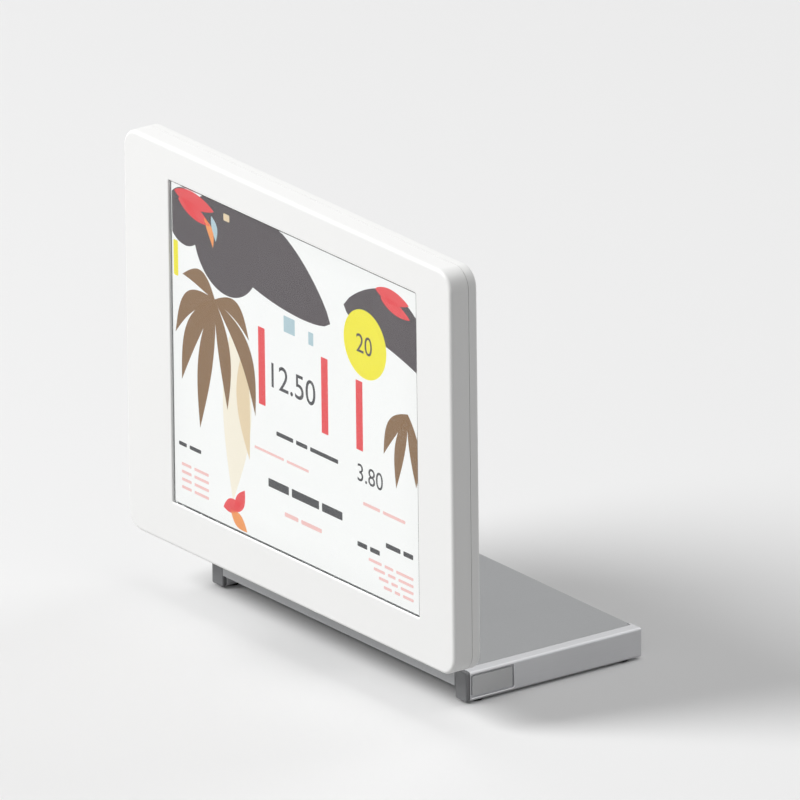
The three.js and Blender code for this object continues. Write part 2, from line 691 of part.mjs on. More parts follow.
// A flat flexible strip from the control board's left end, forward to the back of the screen.
function displayRibbon() {
  const start = -BOARD_W / 2 + 4;
  const bendStart = -BOARD_W / 2 - 2;
  const bendEnd = bendStart - 12;
  const end = bendEnd - 14;
  const low = BOARD_BOTTOM + BOARD_H / 2;
  const yStart = BOARD_BACK + GAP;
  const yEnd = CHASSIS_BACK + GAP;
  const steps = 8;
  const line = [[start, yStart]];
  for (let i = 0; i <= steps; i++) {
    const t = i / steps;
    const ease = t * t * (3 - 2 * t);
    line.push([bendStart + (bendEnd - bendStart) * t, yStart + (yEnd - yStart) * ease]);
  }
  line.push([end, yEnd]);
  const outline = [...line, ...line.map(([x, y]) => [x, y + RIBBON_T]).reverse()];
  const shape = new THREE.Shape(outline.map(([x, y]) => new THREE.Vector2(x, y)));
  return slabZ(shape, low, low + RIBBON_W);
}

piece("inner_frame", innerFrame(), FINISH.steel, head);
piece("control_board", controlBoard(), FINISH.board, head);
Object.keys(SOCKETS).forEach((name) => piece(name, socket(name), FINISH.black, head));
piece("key_board", keyBoard(), FINISH.board, head);
piece("display_ribbon", displayRibbon(), FINISH.brass, head);

// ---- Keys ----

function key() {
  const cap = slabY(
    roundedRect(KEY_W, KEY_H, KEY_CORNER),
    KEY_FLANGE_BACK - 0.5,
    HOUSING_D + KEY_PROUD,
    { edge: 0.5, sides: 1, steps: 1 },
  );
  const half = [KEY_W / 2 + KEY_FLANGE_W, KEY_H / 2 + KEY_FLANGE_W];
  const flange = box([-half[0], KEY_FLANGE_FRONT, -half[1]], [half[0], KEY_FLANGE_BACK, half[1]]);
  const stem = rod("y", KEY_STEM_D / 2, KEY_STEM_FRONT, KEY_FLANGE_BACK, [0, 0], TINY_ROUND);
  return join(cap, flange, stem);
}

KEY_NAMES.forEach((name, i) => {
  piece(name, key(), FINISH.lightGrey, head).position.set(keyX, 0, keyHeights[i]);
});

// ---- Head bracket ----

// A plate on the mounting bosses with two ears bent back to the hinge axis.
function headBracket() {
  const plate = slabY(roundedRect(BRACKET_SIZE, BRACKET_SIZE, 6, 0, MIDDLE_Z), BRACKET_FRONT, BRACKET_BACK);
  const holes = mountSpots.map(([x, z]) =>
    rod("y", BRACKET_SCREW.d / 2 + GAP, BRACKET_FRONT - BITE, BRACKET_BACK + BITE, [x, z], SMALL_ROUND),
  );
  const ears = [-EAR_OUTER, EAR_INNER].map((x) => {
    const arm = box(
      [x, BRACKET_FRONT + BITE / 2, HINGE_HEIGHT - EAR_R],
      [x + BRACKET_T, HINGE_BACK, HINGE_HEIGHT + EAR_R],
    );
    return join(arm, rod("x", EAR_R, x, x + BRACKET_T, [HINGE_BACK, HINGE_HEIGHT]));
  });
  const axleHole = rod("x", AXLE_D / 2 + GAP, -NECK_W, NECK_W, [HINGE_BACK, HINGE_HEIGHT]);
  const pinHole = rod(
    "x",
    STOP_PIN_D / 2 + GAP,
    0,
    NECK_W,
    [HINGE_BACK + STOP_R, HINGE_HEIGHT],
    SMALL_ROUND,
  );
  return cut(join(plate, ...ears), ...holes, axleHole, pinHole);
}

piece("head_bracket", headBracket(), FINISH.coatedSteel, head);
mountSpots.forEach(([x, z], i) => {
  const screw = piece(`bracket_screw_${i + 1}`, panScrew(BRACKET_SCREW), FINISH.steel, head);
  screw.position.set(x, BRACKET_BACK + GAP, z);
});

// ---- Hinge ----

const HEAD_X = NECK_W / 2 + GAP; // outside of a cheek
const NUT_X = HEAD_X + SPRING_WASHER_T + GAP;

const onAxis = (radius, from, to, sides) => rod("x", radius, from, to, [0, 0], sides);

function axleBolt() {
  const headHex = onAxis(HEX_R, -HEAD_X - HEX_T, -HEAD_X, 6);
  return join(headHex, onAxis(AXLE_D / 2, -HEAD_X - BITE, NUT_X + HEX_T + 1));
}

const washer = (outer, from, to) =>
  cut(onAxis(outer, from, to), onAxis(AXLE_D / 2 + GAP, from - BITE, to + BITE));

function hingeNut() {
  const hex = onAxis(HEX_R, NUT_X, NUT_X + HEX_T, 6);
  return cut(hex, onAxis(AXLE_D / 2 + GAP, NUT_X - BITE, NUT_X + HEX_T + BITE));
}

// A round cup over the bolt's end, open towards the neck.
function hingeCap() {
  const profile = [
    [0, CAP_DEPTH],
    [CAP_R - CAP_EDGE, CAP_DEPTH],
    [CAP_R, CAP_DEPTH - CAP_EDGE],
    [CAP_R, 0],
    [CAP_R - CAP_WALL, 0],
    [CAP_R - CAP_WALL, CAP_DEPTH - CAP_WALL],
    [0, CAP_DEPTH - CAP_WALL],
  ].map(([x, y]) => new THREE.Vector2(x, y));
  const cup = new THREE.LatheGeometry(profile.reverse(), ROUND);
  return geometryOf(solid(cup.rotateZ(-Math.PI / 2)));
}

piece("hinge_axle", axleBolt(), FINISH.steel, hinge);
piece("hinge_nut", hingeNut(), FINISH.steel, hinge);
piece("spring_washer", washer(HEX_R, HEAD_X, HEAD_X + SPRING_WASHER_T), FINISH.steel, hinge);
piece("spacer_tube", washer(SPACER_R, -EAR_INNER + GAP, EAR_INNER - GAP), FINISH.aluminium, hinge);
[-1, 1].forEach((side) => {
  const name = side < 0 ? "left" : "right";
  const inner = side * (EAR_OUTER + GAP);
  const outer = inner + side * FRICTION_WASHER_T;
  const disc = washer(WASHER_R, Math.min(inner, outer), Math.max(inner, outer));
  piece(`friction_washer_${name}`, disc, FINISH.black, hinge);
  const cap = piece(`hinge_cap_${name}`, hingeCap(), FINISH.lightGrey, hinge);
  cap.position.x = side * HEAD_X;
  cap.rotation.z = side < 0 ? Math.PI : 0;
});
const stopPin = rod("x", STOP_PIN_D / 2, EAR_INNER, NECK_W / 2, [STOP_R, 0], SMALL_ROUND);
piece("stop_pin", stopPin, FINISH.steel, hinge);

// ---- Neck ----

// The curved slot that the stop pin runs in, about the hinge axis.
function stopSlot() {
  const half = STOP_PIN_D / 2 + GAP;
  const low = THREE.MathUtils.degToRad(-TILT_BACK - TILT_PLAY);
  const high = THREE.MathUtils.degToRad(TILT_FORWARD + TILT_PLAY);
  const spot = (angle) => [HINGE_BACK + STOP_R * Math.cos(angle), HINGE_TOP + STOP_R * Math.sin(angle)];
  const arc = new THREE.Shape();
  arc.absarc(HINGE_BACK, HINGE_TOP, STOP_R + half, low, high, false);
  arc.absarc(HINGE_BACK, HINGE_TOP, STOP_R - half, high, low, true);
  const ends = [low, high].map((angle) => rod("x", half, EAR_OUTER, NECK_W, spot(angle), SMALL_ROUND));
  return join(slabX(arc, EAR_OUTER, NECK_W), ...ends);
}

const neckScrewSpots = [-1, 1].flatMap((side) =>
  NECK_SCREW_ROWS.map((row) => [side * NECK_SCREW_SIDE, NECK_BACK + row]),
);
const FLANGE_BOTTOM = STAND_H + GAP;
const FLANGE_TOP = FLANGE_BOTTOM + CHEEK_T;

// A folded upright: a web, two cheeks that hold the axle, and a flange screwed to the stand.
function neckBracket() {
  const half = NECK_W / 2;
  const web = box([-half, NECK_BACK - CHEEK_T, FLANGE_BOTTOM], [half, NECK_BACK, WEB_TOP]);
  const cheeks = [-half, CHEEK_INNER].map((x) =>
    join(
      box([x, NECK_FRONT, FLANGE_BOTTOM], [x + CHEEK_T, NECK_BACK, HINGE_TOP]),
      rod("x", CHEEK_R, x, x + CHEEK_T, [HINGE_BACK, HINGE_TOP]),
    ),
  );
  const flange = box(
    [-half, NECK_BACK - BITE, FLANGE_BOTTOM],
    [half, NECK_BACK + NECK_FLANGE_D, FLANGE_TOP],
  );
  const axleHole = rod("x", AXLE_D / 2 + GAP, -NECK_W, NECK_W, [HINGE_BACK, HINGE_TOP]);
  const holes = neckScrewSpots.map(([x, y]) =>
    rod("z", NECK_SCREW.d / 2 + GAP, STAND_H, FLANGE_TOP + BITE, [x, y], SMALL_ROUND),
  );
  return cut(join(web, ...cheeks, flange), axleHole, stopSlot(), ...holes);
}

const SLEEVE_W = NECK_W + 2 * GAP;
const SLEEVE_FRONT = NECK_FRONT - GAP;
const SLEEVE_BACK = NECK_BACK + GAP;

// A plastic sleeve round the upright, notched where the flange leaves it.
function neckCover() {
  const wide = SLEEVE_W + 2 * COVER_WALL;
  const deep = SLEEVE_BACK - SLEEVE_FRONT + 2 * COVER_WALL;
  const middle = (SLEEVE_FRONT + SLEEVE_BACK) / 2;
  const outer = slabZ(roundedRect(wide, deep, COVER_CORNER, 0, middle), FLANGE_BOTTOM, COVER_TOP);
  const inner = box(
    [-SLEEVE_W / 2, SLEEVE_FRONT, STAND_H],
    [SLEEVE_W / 2, SLEEVE_BACK, COVER_TOP + BITE],
  );
  const notch = box(
    [-SLEEVE_W / 2, SLEEVE_BACK - BITE, STAND_H],
    [SLEEVE_W / 2, SLEEVE_BACK + COVER_WALL + BITE, FLANGE_TOP + GAP],
  );
  return cut(outer, inner, notch);
}

const FOOT_COVER_INNER = FLANGE_TOP + GAP + NECK_SCREW.headH + GAP;

// A low cap over the flange and its screws, behind the sleeve.
function footCover() {
  const wide = SLEEVE_W + 2 * COVER_WALL;
  const front = SLEEVE_BACK + COVER_WALL + GAP;
  const back = NECK_BACK + NECK_FLANGE_D + GAP + COVER_WALL;
  const outline = roundedRect(wide, back - front, COVER_CORNER, 0, (front + back) / 2);
  const outer = slabZ(outline, FLANGE_BOTTOM, FOOT_COVER_INNER + COVER_WALL);
  const inner = box(
    [-SLEEVE_W / 2, front - BITE, STAND_H],
    [SLEEVE_W / 2, back - COVER_WALL, FOOT_COVER_INNER],
  );
  return cut(outer, inner);
}

piece("neck_bracket", neckBracket(), FINISH.coatedSteel, neck);
piece("neck_cover", neckCover(), FINISH.lightGrey, neck);
piece("foot_cover", footCover(), FINISH.lightGrey, neck);
neckScrewSpots.forEach(([x, y], i) => {
  const screw = piece(`neck_screw_${i + 1}`, panScrew(NECK_SCREW), FINISH.steel, neck);
  screw.position.set(x, y, FLANGE_TOP + GAP);
  screw.rotation.x = Math.PI / 2;
});

// ---- Stand ----

const screwHolesInStand = (z0, z1) =>
  neckScrewSpots.map(([x, y]) =>
    rod("z", NECK_SCREW.d / 2 + GAP, z0, z1, [x, y - STAND_SETBACK], SMALL_ROUND),
  );

// A folded sheet: a top with a lip turned down along its front and rear edges.
function standPlate() {
  const low = STAND_H - FLANGE_H;
  const profile = new THREE.Shape();
  profile.moveTo(0, low);
  profile.lineTo(PLATE_T, low);
  profile.lineTo(PLATE_T, PLATE_BOTTOM);
  profile.lineTo(STAND_D - PLATE_T, PLATE_BOTTOM);
  profile.lineTo(STAND_D - PLATE_T, low);
  profile.lineTo(STAND_D, low);
  profile.absarc(STAND_D - PLATE_T, PLATE_BOTTOM, PLATE_T, 0, Math.PI / 2, false);
  profile.absarc(PLATE_T, PLATE_BOTTOM, PLATE_T, Math.PI / 2, Math.PI, false);
  const folded = slabX(profile, -RAIL_INNER + GAP, RAIL_INNER - GAP);
  const reach = RAIL_INNER + RAIL_SEAT_W - GAP;
  const top = box([-reach, PLATE_T, PLATE_BOTTOM], [reach, STAND_D - PLATE_T, STAND_H]);
  return cut(join(folded, top), ...screwHolesInStand(PLATE_BOTTOM - BITE, STAND_H + BITE));
}

function ballastBar() {
  const back = STAND_D - PLATE_T - BALLAST_REAR;
  const top = PLATE_BOTTOM - GAP;
  const bar = slabZ(
    roundedRect(BALLAST_W, BALLAST_D, BALLAST_CORNER, 0, back - BALLAST_D / 2),
    top - BALLAST_T,
    top,
  );
  return cut(bar, ...screwHolesInStand(0, STAND_H));
}

const footSpots = [FOOT_INSET, STAND_D - FOOT_INSET];

// The outside of a rail seen from its end, with round edges.
const railOutline = (side) => {
  const middle = side * (STAND_W / 2 - RAIL_W / 2);
  return roundedRect(RAIL_W, STAND_H - FOOT_PROUD, RAIL_EDGE, middle, (STAND_H + FOOT_PROUD) / 2);
};

// A rail on the given side, hollow from its front end, with a seat for the plate's edge and pockets
// for the inlay and the feet.
function sideRail(side) {
  const span = (from, to, z0, z1, y0, y1) =>
    box([Math.min(side * from, side * to), y0, z0], [Math.max(side * from, side * to), y1, z1]);
  const outerX = STAND_W / 2;
  const seat = span(
    RAIL_INNER - BITE,
    RAIL_INNER + RAIL_SEAT_W,
    PLATE_BOTTOM - GAP,
    STAND_H + BITE,
    0,
    STAND_D + BITE,
  );
  const hollow = span(
    RAIL_INNER + RAIL_INNER_WALL,
    outerX - RAIL_SIDE_WALL,
    FOOT_PROUD + 3.5,
    PLATE_BOTTOM - GAP - 1.5,
    0,
    STAND_D - RAIL_SIDE_WALL,
  );
  const zMiddle = (STAND_H + FOOT_PROUD) / 2;
  const pocket = span(
    outerX - INLAY_DEPTH,
    outerX + BITE,
    zMiddle - INLAY_H / 2,
    zMiddle + INLAY_H / 2,
    INLAY_START,
    INLAY_START + INLAY_L,
  );
  const feet = footSpots.map((y) =>
    rod("z", FOOT_D / 2 + GAP, 0, FOOT_T + GAP, [side * (outerX - RAIL_W / 2), y]),
  );
  const bar = slabY(railOutline(side), END_CAP_T + GAP, STAND_D);
  return cut(bar, seat, hollow, pocket, ...feet);
}

// A plate let into the rail's pocket, with an open line all round it.
function railInlay(side) {
  const outer = STAND_W / 2 - 0.2;
  const inner = STAND_W / 2 - INLAY_DEPTH + GAP;
  const zMiddle = (STAND_H + FOOT_PROUD) / 2;
  const outline = roundedRect(
    INLAY_L - 2 * INLAY_GROOVE,
    INLAY_H - 2 * INLAY_GROOVE,
    0.8,
    INLAY_START + INLAY_L / 2,
    zMiddle,
  );
  return slabX(outline, Math.min(side * inner, side * outer), Math.max(side * inner, side * outer), 1);
}

piece("stand_plate", standPlate(), FINISH.coatedSteel, stand);
piece("ballast_bar", ballastBar(), FINISH.darkGrey, stand);
[-1, 1].forEach((side) => {
  const name = side < 0 ? "left" : "right";
  piece(`side_rail_${name}`, sideRail(side), FINISH.lightGrey, stand);
  piece(`rail_inlay_${name}`, railInlay(side), FINISH.lightGrey, stand);
  piece(`end_cap_${name}`, slabY(railOutline(side), 0, END_CAP_T), FINISH.darkGrey, stand);
  footSpots.forEach((y, i) => {
    const place = i === 0 ? "front" : "rear";
    const foot = rod("z", FOOT_D / 2, 0, FOOT_T, [side * (STAND_W / 2 - RAIL_W / 2), y]);
    piece(`rubber_foot_${place}_${name}`, foot, FINISH.rubber, stand);
  });
});

export default display;
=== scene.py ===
"""Customer display: the finished look of a flat screen on a tilt hinge above a wide, low stand.

Lengths are millimetres in the helpers and metres in Blender. +X runs along the screen, the screen
faces -Y and +Z is up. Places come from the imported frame.
"""

import json
import math

import bmesh
import bpy
from mathutils import Matrix, Vector

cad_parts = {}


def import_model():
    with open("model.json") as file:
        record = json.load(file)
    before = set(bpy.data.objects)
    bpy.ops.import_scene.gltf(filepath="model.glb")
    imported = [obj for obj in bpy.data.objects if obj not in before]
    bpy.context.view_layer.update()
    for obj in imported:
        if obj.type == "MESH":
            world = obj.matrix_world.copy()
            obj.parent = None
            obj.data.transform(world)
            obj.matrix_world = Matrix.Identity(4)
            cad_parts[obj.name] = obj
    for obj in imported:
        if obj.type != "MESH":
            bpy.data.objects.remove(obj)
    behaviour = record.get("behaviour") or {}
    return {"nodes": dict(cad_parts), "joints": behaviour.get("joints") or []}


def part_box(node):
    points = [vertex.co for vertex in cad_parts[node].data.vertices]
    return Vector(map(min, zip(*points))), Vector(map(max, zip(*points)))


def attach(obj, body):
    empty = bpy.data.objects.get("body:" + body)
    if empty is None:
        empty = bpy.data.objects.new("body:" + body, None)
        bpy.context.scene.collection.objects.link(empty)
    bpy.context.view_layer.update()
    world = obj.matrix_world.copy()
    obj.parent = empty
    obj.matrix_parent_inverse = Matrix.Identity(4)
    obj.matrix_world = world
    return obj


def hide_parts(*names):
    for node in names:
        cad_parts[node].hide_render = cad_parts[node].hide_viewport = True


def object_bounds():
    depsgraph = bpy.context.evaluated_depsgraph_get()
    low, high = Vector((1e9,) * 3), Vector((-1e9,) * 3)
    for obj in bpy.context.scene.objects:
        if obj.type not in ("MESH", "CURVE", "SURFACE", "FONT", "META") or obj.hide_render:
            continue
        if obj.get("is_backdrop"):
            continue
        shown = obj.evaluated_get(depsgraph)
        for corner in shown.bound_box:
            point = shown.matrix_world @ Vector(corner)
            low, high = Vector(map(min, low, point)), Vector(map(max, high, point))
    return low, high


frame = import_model()
cad_low, cad_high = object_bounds()
nodes = frame["nodes"]

MM = 0.001
ROUND, SCREW_ROUND, PIN_ROUND = 64, 40, 32  # sides of a turned part, of a screw and of a pin
CORNER = 8  # steps round a corner
FIT = 0.3  # clearance between neighbouring pieces
ACROSS = {"x": (1, 2), "y": (0, 2), "z": (0, 1)}  # the two directions across an axis


def node_box(name):
    """A CAD node's lowest and highest corners, in millimetres."""
    low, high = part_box(name)
    return low / MM, high / MM


def middle_of(name):
    low, high = node_box(name)
    return (low + high) / 2


def outline_of(name, axis):
    """A CAD node's size and centre across an axis."""
    u, v = ACROSS[axis]
    low, high = node_box(name)
    size = (high[u] - low[u], high[v] - low[v])
    return size, ((low[u] + high[u]) / 2, (low[v] + high[v]) / 2)


bezel_low, bezel_high = node_box("front_bezel")
cover_low = node_box("rear_cover")[0]
lens_low, lens_high = node_box("lens_glass")
plate_low, plate_high = node_box("stand_plate")
FRONT = bezel_low.y
HOUSING = (bezel_high.x - bezel_low.x, bezel_high.z - bezel_low.z)
CENTRE = (0, (bezel_low.z + bezel_high.z) / 2)
AXIS = Vector(frame["joints"][0]["pos_m"]) / MM
TILT = (AXIS.y, AXIS.z)  # the tilt axis, seen along x
AXLE_BORE, SCREW_BORE, PIN_BORE = 4 + FIT, 2 + FIT, 1.5 + FIT  # radii


# ---- Materials ----


class Value:
    """A socket of a shader tree. Arithmetic on it adds Math nodes."""

    def __init__(self, shading, socket):
        self.shading, self.socket = shading, socket

    def maths(self, operation, *values):
        return self.shading.node("ShaderNodeMath", {"operation": operation}, values)

    def __add__(self, other):
        return self.maths("ADD", self, other)

    __radd__ = __add__

    def __sub__(self, other):
        return self.maths("SUBTRACT", self, other)

    def __rsub__(self, other):
        return self.maths("SUBTRACT", other, self)

    def __mul__(self, other):
        return self.maths("MULTIPLY", self, other)

    __rmul__ = __mul__

    def __truediv__(self, other):
        return self.maths("DIVIDE", self, other)

    def __rtruediv__(self, other):
        return self.maths("DIVIDE", other, self)

    def __abs__(self):
        return self.maths("ABSOLUTE", self)

    def most(self, other):
        """The larger of two values."""
        return self.maths("MAXIMUM", self, other)


class Shading:
    """A tree of shader nodes."""

    def __init__(self, tree):
        self.tree = tree

    def link(self, socket, value):
        if isinstance(value, Value):
            self.tree.links.new(value.socket, socket)
        else:
            socket.default_value = value

    def node(self, kind, settings=None, inputs=(), output=0):
        """Adds a node: its settings first, then its sockets by place or by name."""
        made = self.tree.nodes.new(kind)
        for name, value in (settings or {}).items():
            setattr(made, name, value)
        pairs = inputs.items() if isinstance(inputs, dict) else enumerate(inputs)
        for key, value in pairs:
            self.link(made.inputs[key], value)
        return Value(self, made.outputs[output])

    def show(self, output, mask, first, second):
        """Sends a mix of two shaders to the output: the first where the mask is 0."""
        mixed = self.node("ShaderNodeMixShader", inputs=(mask, first, second))
        self.link(self.tree.nodes[output].inputs["Surface"], mixed)


class Finish(Shading):
    """A material for one kind of surface, built round a Principled shader."""

    def __init__(self, name, colour, roughness, **fixed):
        self.material = bpy.data.materials.new(name)
        self.material.use_nodes = True
        super().__init__(self.material.node_tree)
        self.shader = self.tree.nodes["Principled BSDF"]
        self.surface = Value(self, self.shader.outputs[0])
        self.rgb = (*colour, 1)
        self.set(Base_Color=self.rgb, Roughness=roughness, **fixed)

    def set(self, **inputs):
        """Sets the shader's sockets; an underscore stands for a space in a socket's name."""
        for name, value in inputs.items():
            self.link(self.shader.inputs[name.replace("_", " ")], value)

    def place(self, stretch=(1, 1, 1)):
        """The point on the piece in millimetres, stretched along each axis."""
        point = self.node("ShaderNodeTexCoord", output="Object")
        scale = tuple(s / MM for s in stretch)
        return self.node("ShaderNodeVectorMath", {"operation": "MULTIPLY"}, (point, scale))

    def along(self, axis, point):
        """A point's distance along the X, Y or Z axis."""
        return self.node("ShaderNodeSeparateXYZ", inputs=(point,), output=axis)

    def noise(self, size, point=None, detail=2.0, roughness=0.5):
        """Soft noise from 0 to 1 with features about size millimetres across."""
        inputs = {
            "Vector": point or self.place(),
            "Scale": 1 / size,
            "Detail": detail,
            "Roughness": roughness,
        }
        return self.node("ShaderNodeTexNoise", inputs=inputs)

    def cells(self, size, point=None):
        """The distance to the nearest of many scattered points about size millimetres apart."""
        inputs = {"Vector": point or self.place(), "Scale": 1 / size}
        return self.node("ShaderNodeTexVoronoi", inputs=inputs)

    def between(self, low, high, value):
        """0 below low, 1 above high, and a smooth change between them."""
        settings = {"interpolation_type": "SMOOTHSTEP"}
        inputs = {"Value": value, "From Min": low, "From Max": high}
        return self.node("ShaderNodeMapRange", settings, inputs)

    def mix(self, mask, first, second):
        """The first colour where the mask is 0, the second where it is 1."""
        inputs = {"Factor": mask, 6: first, 7: second}
        return self.node("ShaderNodeMix", {"data_type": "RGBA"}, inputs, output=2)

    def shade(self, factor):
        """This finish's own colour at a share of its brightness."""
        return (*(c * factor for c in self.rgb[:3]), 1)

    def bump(self, height, depth):
        """Relief of the given depth in millimetres."""
        inputs = {"Height": height, "Strength": 1.0, "Distance": depth * MM}
        return self.node("ShaderNodeBump", inputs=inputs)


def moulded(name, colour, roughness, grain=0.012):
    """Moulded plastic: spark-eroded grain, faint clouding and a little handling shine."""
    f = Finish(name, colour, roughness, IOR=1.46)
    point = f.place()
    drift = f.noise(46, point, detail=3)
    fine = f.noise(0.55, point)
    pits = f.cells(0.9, point)
    handled = f.between(0.5, 0.72, f.noise(31, point, detail=4, roughness=0.6))
    f.set(
        Base_Color=f.mix(drift * 0.7 + fine * 0.3, f.shade(0.97), f.shade(1)),
        Roughness=roughness + (fine - 0.5) * 0.12 - handled * 0.07,
        Normal=f.bump(fine * 0.6 + pits * 0.4, grain),
    )
    return f.material


def powder_coat(name, colour, roughness):
    """Sprayed powder: orange peel under a fine speckle."""
    f = Finish(name, colour, roughness, IOR=1.5)
    point = f.place()
    peel = f.noise(1.6, point, detail=1)
    fine = f.noise(0.5, point)
    speckle = f.between(0.62, 0.7, f.noise(0.8, point))
    clouded = f.mix(f.noise(38, point, detail=3), f.shade(0.96), f.shade(1.02))
    f.set(
        Base_Color=f.mix(speckle * 0.6, clouded, f.shade(0.86)),
        Roughness=roughness + (peel - 0.5) * 0.14,
        Normal=f.bump(peel * 0.7 + fine * 0.3, 0.03),
    )
    return f.material


def brushed(name, colour, roughness, stretch, metallic=1.0):
    """Metal with fine lines along one axis and faint clouding."""
    f = Finish(name, colour, roughness, Metallic=metallic)
    lines = f.noise(0.5, f.place(stretch), detail=3, roughness=0.6)
    clouds = f.noise(24, detail=3)
    f.set(
        Base_Color=f.mix(lines * 0.6 + clouds * 0.4, f.shade(0.9), f.shade(1.06)),
        Roughness=roughness + (lines - 0.5) * 0.16 + (clouds - 0.5) * 0.08,
        Normal=f.bump(lines, 0.006),
    )
    return f.material


def plated(name, colour, roughness):
    """Zinc plating: mottled, with small spangles."""
    f = Finish(name, colour, roughness, Metallic=1.0)
    spangle = f.cells(1.4)
    clouds = f.noise(3.5, detail=3)
    f.set(
        Base_Color=f.mix(clouds, f.shade(0.86), f.shade(1.08)),
        Roughness=roughness + (spangle - 0.4) * 0.12,
        Normal=f.bump(clouds, 0.01),
    )
    return f.material


def rubber(name, colour):
    """Dull rubber with a fine grain and a little dust."""
    f = Finish(name, colour, 0.82, IOR=1.5)
    fine = f.noise(0.45, detail=3)
    dust = f.between(0.48, 0.75, f.noise(2.6, detail=3))
    f.set(
        Base_Color=f.mix(dust * 0.5, f.shade(1), f.shade(1.9)),
        Roughness=0.86 - fine * 0.1,
        Normal=f.bump(fine, 0.03),
    )
    return f.material


def circuit_board(name):
    """Green solder mask with lighter tracks and small solder points."""
    f = Finish(name, (0.02, 0.16, 0.07), 0.4, Coat_Weight=0.4)
    point = f.place()
    tracks = f.between(0.02, 0.05, f.cells(5, f.place((1, 1, 3))))
    pads = f.between(0.12, 0.16, f.cells(2.2, point))
    green = f.mix(tracks, f.shade(1.7), f.shade(1))
    f.set(
        Base_Color=f.mix(pads, (0.55, 0.55, 0.52, 1), green),
        Roughness=0.32 + f.noise(4, point) * 0.16,
        Normal=f.bump(tracks, 0.03),
    )
    return f.material


def film(name, colour, roughness, transmission=0.0):
    """A sheet or slab of clear or pearly plastic with faint waves."""
    f = Finish(name, colour, roughness, IOR=1.49, Transmission_Weight=transmission)
    waves = f.noise(18)
    f.set(
        Base_Color=f.mix(waves, f.shade(0.94), f.shade(1)),
        Roughness=roughness + (waves - 0.5) * 0.06,
        Normal=f.bump(waves, 0.02),
    )
    return f.material


def cover_glass():
    """Clear glass with an anti-glare surface, which lets lamps through."""
    f = Finish("cover_glass", (0.97, 0.985, 0.98), 0.06, IOR=1.2, Transmission_Weight=1.0)
    f.set(Roughness=0.05 + f.between(0.45, 0.7, f.noise(26, detail=4)) * 0.03)
    from_lamp = f.node("ShaderNodeLightPath", output="Is Shadow Ray")
    clear = f.node("ShaderNodeBsdfTransparent", inputs={"Color": (0.94, 0.95, 0.945, 1)})
    f.show("Material Output", from_lamp, f.surface, clear)
    return f.material


def lit(name, colour):
    """A patch of the lit picture: a little dimmer at the screen's edges, over a fine cell grid."""
    f = Finish(name, (0.02, 0.02, 0.02), 0.35, Specular_IOR_Level=0.0, Emission_Strength=1.0)
    point = f.place()
    middle = (lens_low + lens_high) / 2
    half = (lens_high - lens_low) / 2
    across = abs(f.along("X", point) - middle.x) / half.x
    up = abs(f.along("Z", point) - middle.z) / half.z
    edge = f.between(0.82, 1.05, across.most(up))
    cells = f.noise(0.6, point, detail=1)
    lamp_patches = f.noise(60, point)
    dim = edge * 0.5 + cells * 0.25 + lamp_patches * 0.25
    dimmed = (c * 0.93 for c in colour)
    f.set(Emission_Color=f.mix(dim, (*colour, 1), (*dimmed, 1)))
    return f.material


WHITE = moulded("white_plastic", (0.93, 0.93, 0.92), 0.42)
GREY = moulded("grey_plastic", (0.58, 0.59, 0.60), 0.48)
KEY_GREY = moulded("key_plastic", (0.17, 0.172, 0.178), 0.42, grain=0.008)
MARK = moulded("mark_ink", (0.90, 0.90, 0.89), 0.5, grain=0.004)
# the end caps' dark grey: partly their own dark plastic, partly painted shade from under the screen
DARK_WITH_PAINTED_SHADE = moulded("dark_plastic", (0.235, 0.238, 0.245), 0.5)
INLAY = moulded("inlay_plastic", (0.72, 0.725, 0.73), 0.5)
BLACK = moulded("black_plastic", (0.022, 0.022, 0.024), 0.5)
COAT = powder_coat("grey_coat", (0.55, 0.56, 0.57), 0.5)
DARK_COAT = powder_coat("dark_coat", (0.075, 0.077, 0.08), 0.6)
ZINC = plated("zinc_plating", (0.60, 0.61, 0.63), 0.34)
RAIL = brushed("rail_aluminium", (0.66, 0.665, 0.68), 0.42, (1, 0.03, 1), 0.7)
TUBE = brushed("tube_aluminium", (0.60, 0.61, 0.63), 0.34, (0.03, 1, 1))
TRAY = brushed("tray_aluminium", (0.60, 0.61, 0.62), 0.45, (0.03, 1, 1))
RUBBER = rubber("black_rubber", (0.018, 0.018, 0.018))
BOARD = circuit_board("solder_mask")
AMBER = film("amber_film", (0.45, 0.20, 0.03), 0.3)
PEARL = film("pearl_film", (0.84, 0.86, 0.88), 0.4)
ACRYLIC = film("acrylic", (0.92, 0.95, 0.96), 0.12, 0.9)
GLASS = cover_glass()
SCREEN = lit("screen_white", (0.955, 0.955, 0.95))
PRINT_DARK = moulded("print_dark", (0.055, 0.056, 0.06), 0.4, grain=0.002)

NODE_FINISH = {
    ZINC: ("lcd_clamp", "inner_frame", "hinge_axle", "hinge_nut", "spring_washer"),
    TRAY: ("lcd_chassis",),
    PEARL: ("optical_sheets", "reflector_sheet", "led_strip"),
    ACRYLIC: ("light_guide",),
    BOARD: ("control_board", "key_board"),
    AMBER: ("display_ribbon",),
    BLACK: ("friction_washer_left", "friction_washer_right"),
    RUBBER: ("lens_tape",),
    SCREEN: ("lcd_cell",),
}
for material, names in NODE_FINISH.items():
    for name in names:
        nodes[name].data.materials.clear()
        nodes[name].data.materials.append(material)


# ---- Shapes ----


def rounded(width, height, radius, centre=(0, 0), steps=CORNER):
    """Points round a rectangle with round corners."""
    points = []
    for sx, sy, start in ((1, -1, -90), (1, 1, 0), (-1, 1, 90), (-1, -1, 180)):
        corner = (centre[0] + sx * (width / 2 - radius), centre[1] + sy * (height / 2 - radius))
        points += arc(radius, corner, start, start + 90, steps)
    return points


def inset_of(width, height, radius, centre=(0, 0), steps=CORNER):
    """A rounded rectangle as a function of how far it is drawn in; less than 0 grows it."""
    return lambda d: rounded(width - 2 * d, height - 2 * d, max(radius - d, 0.05), centre, steps)


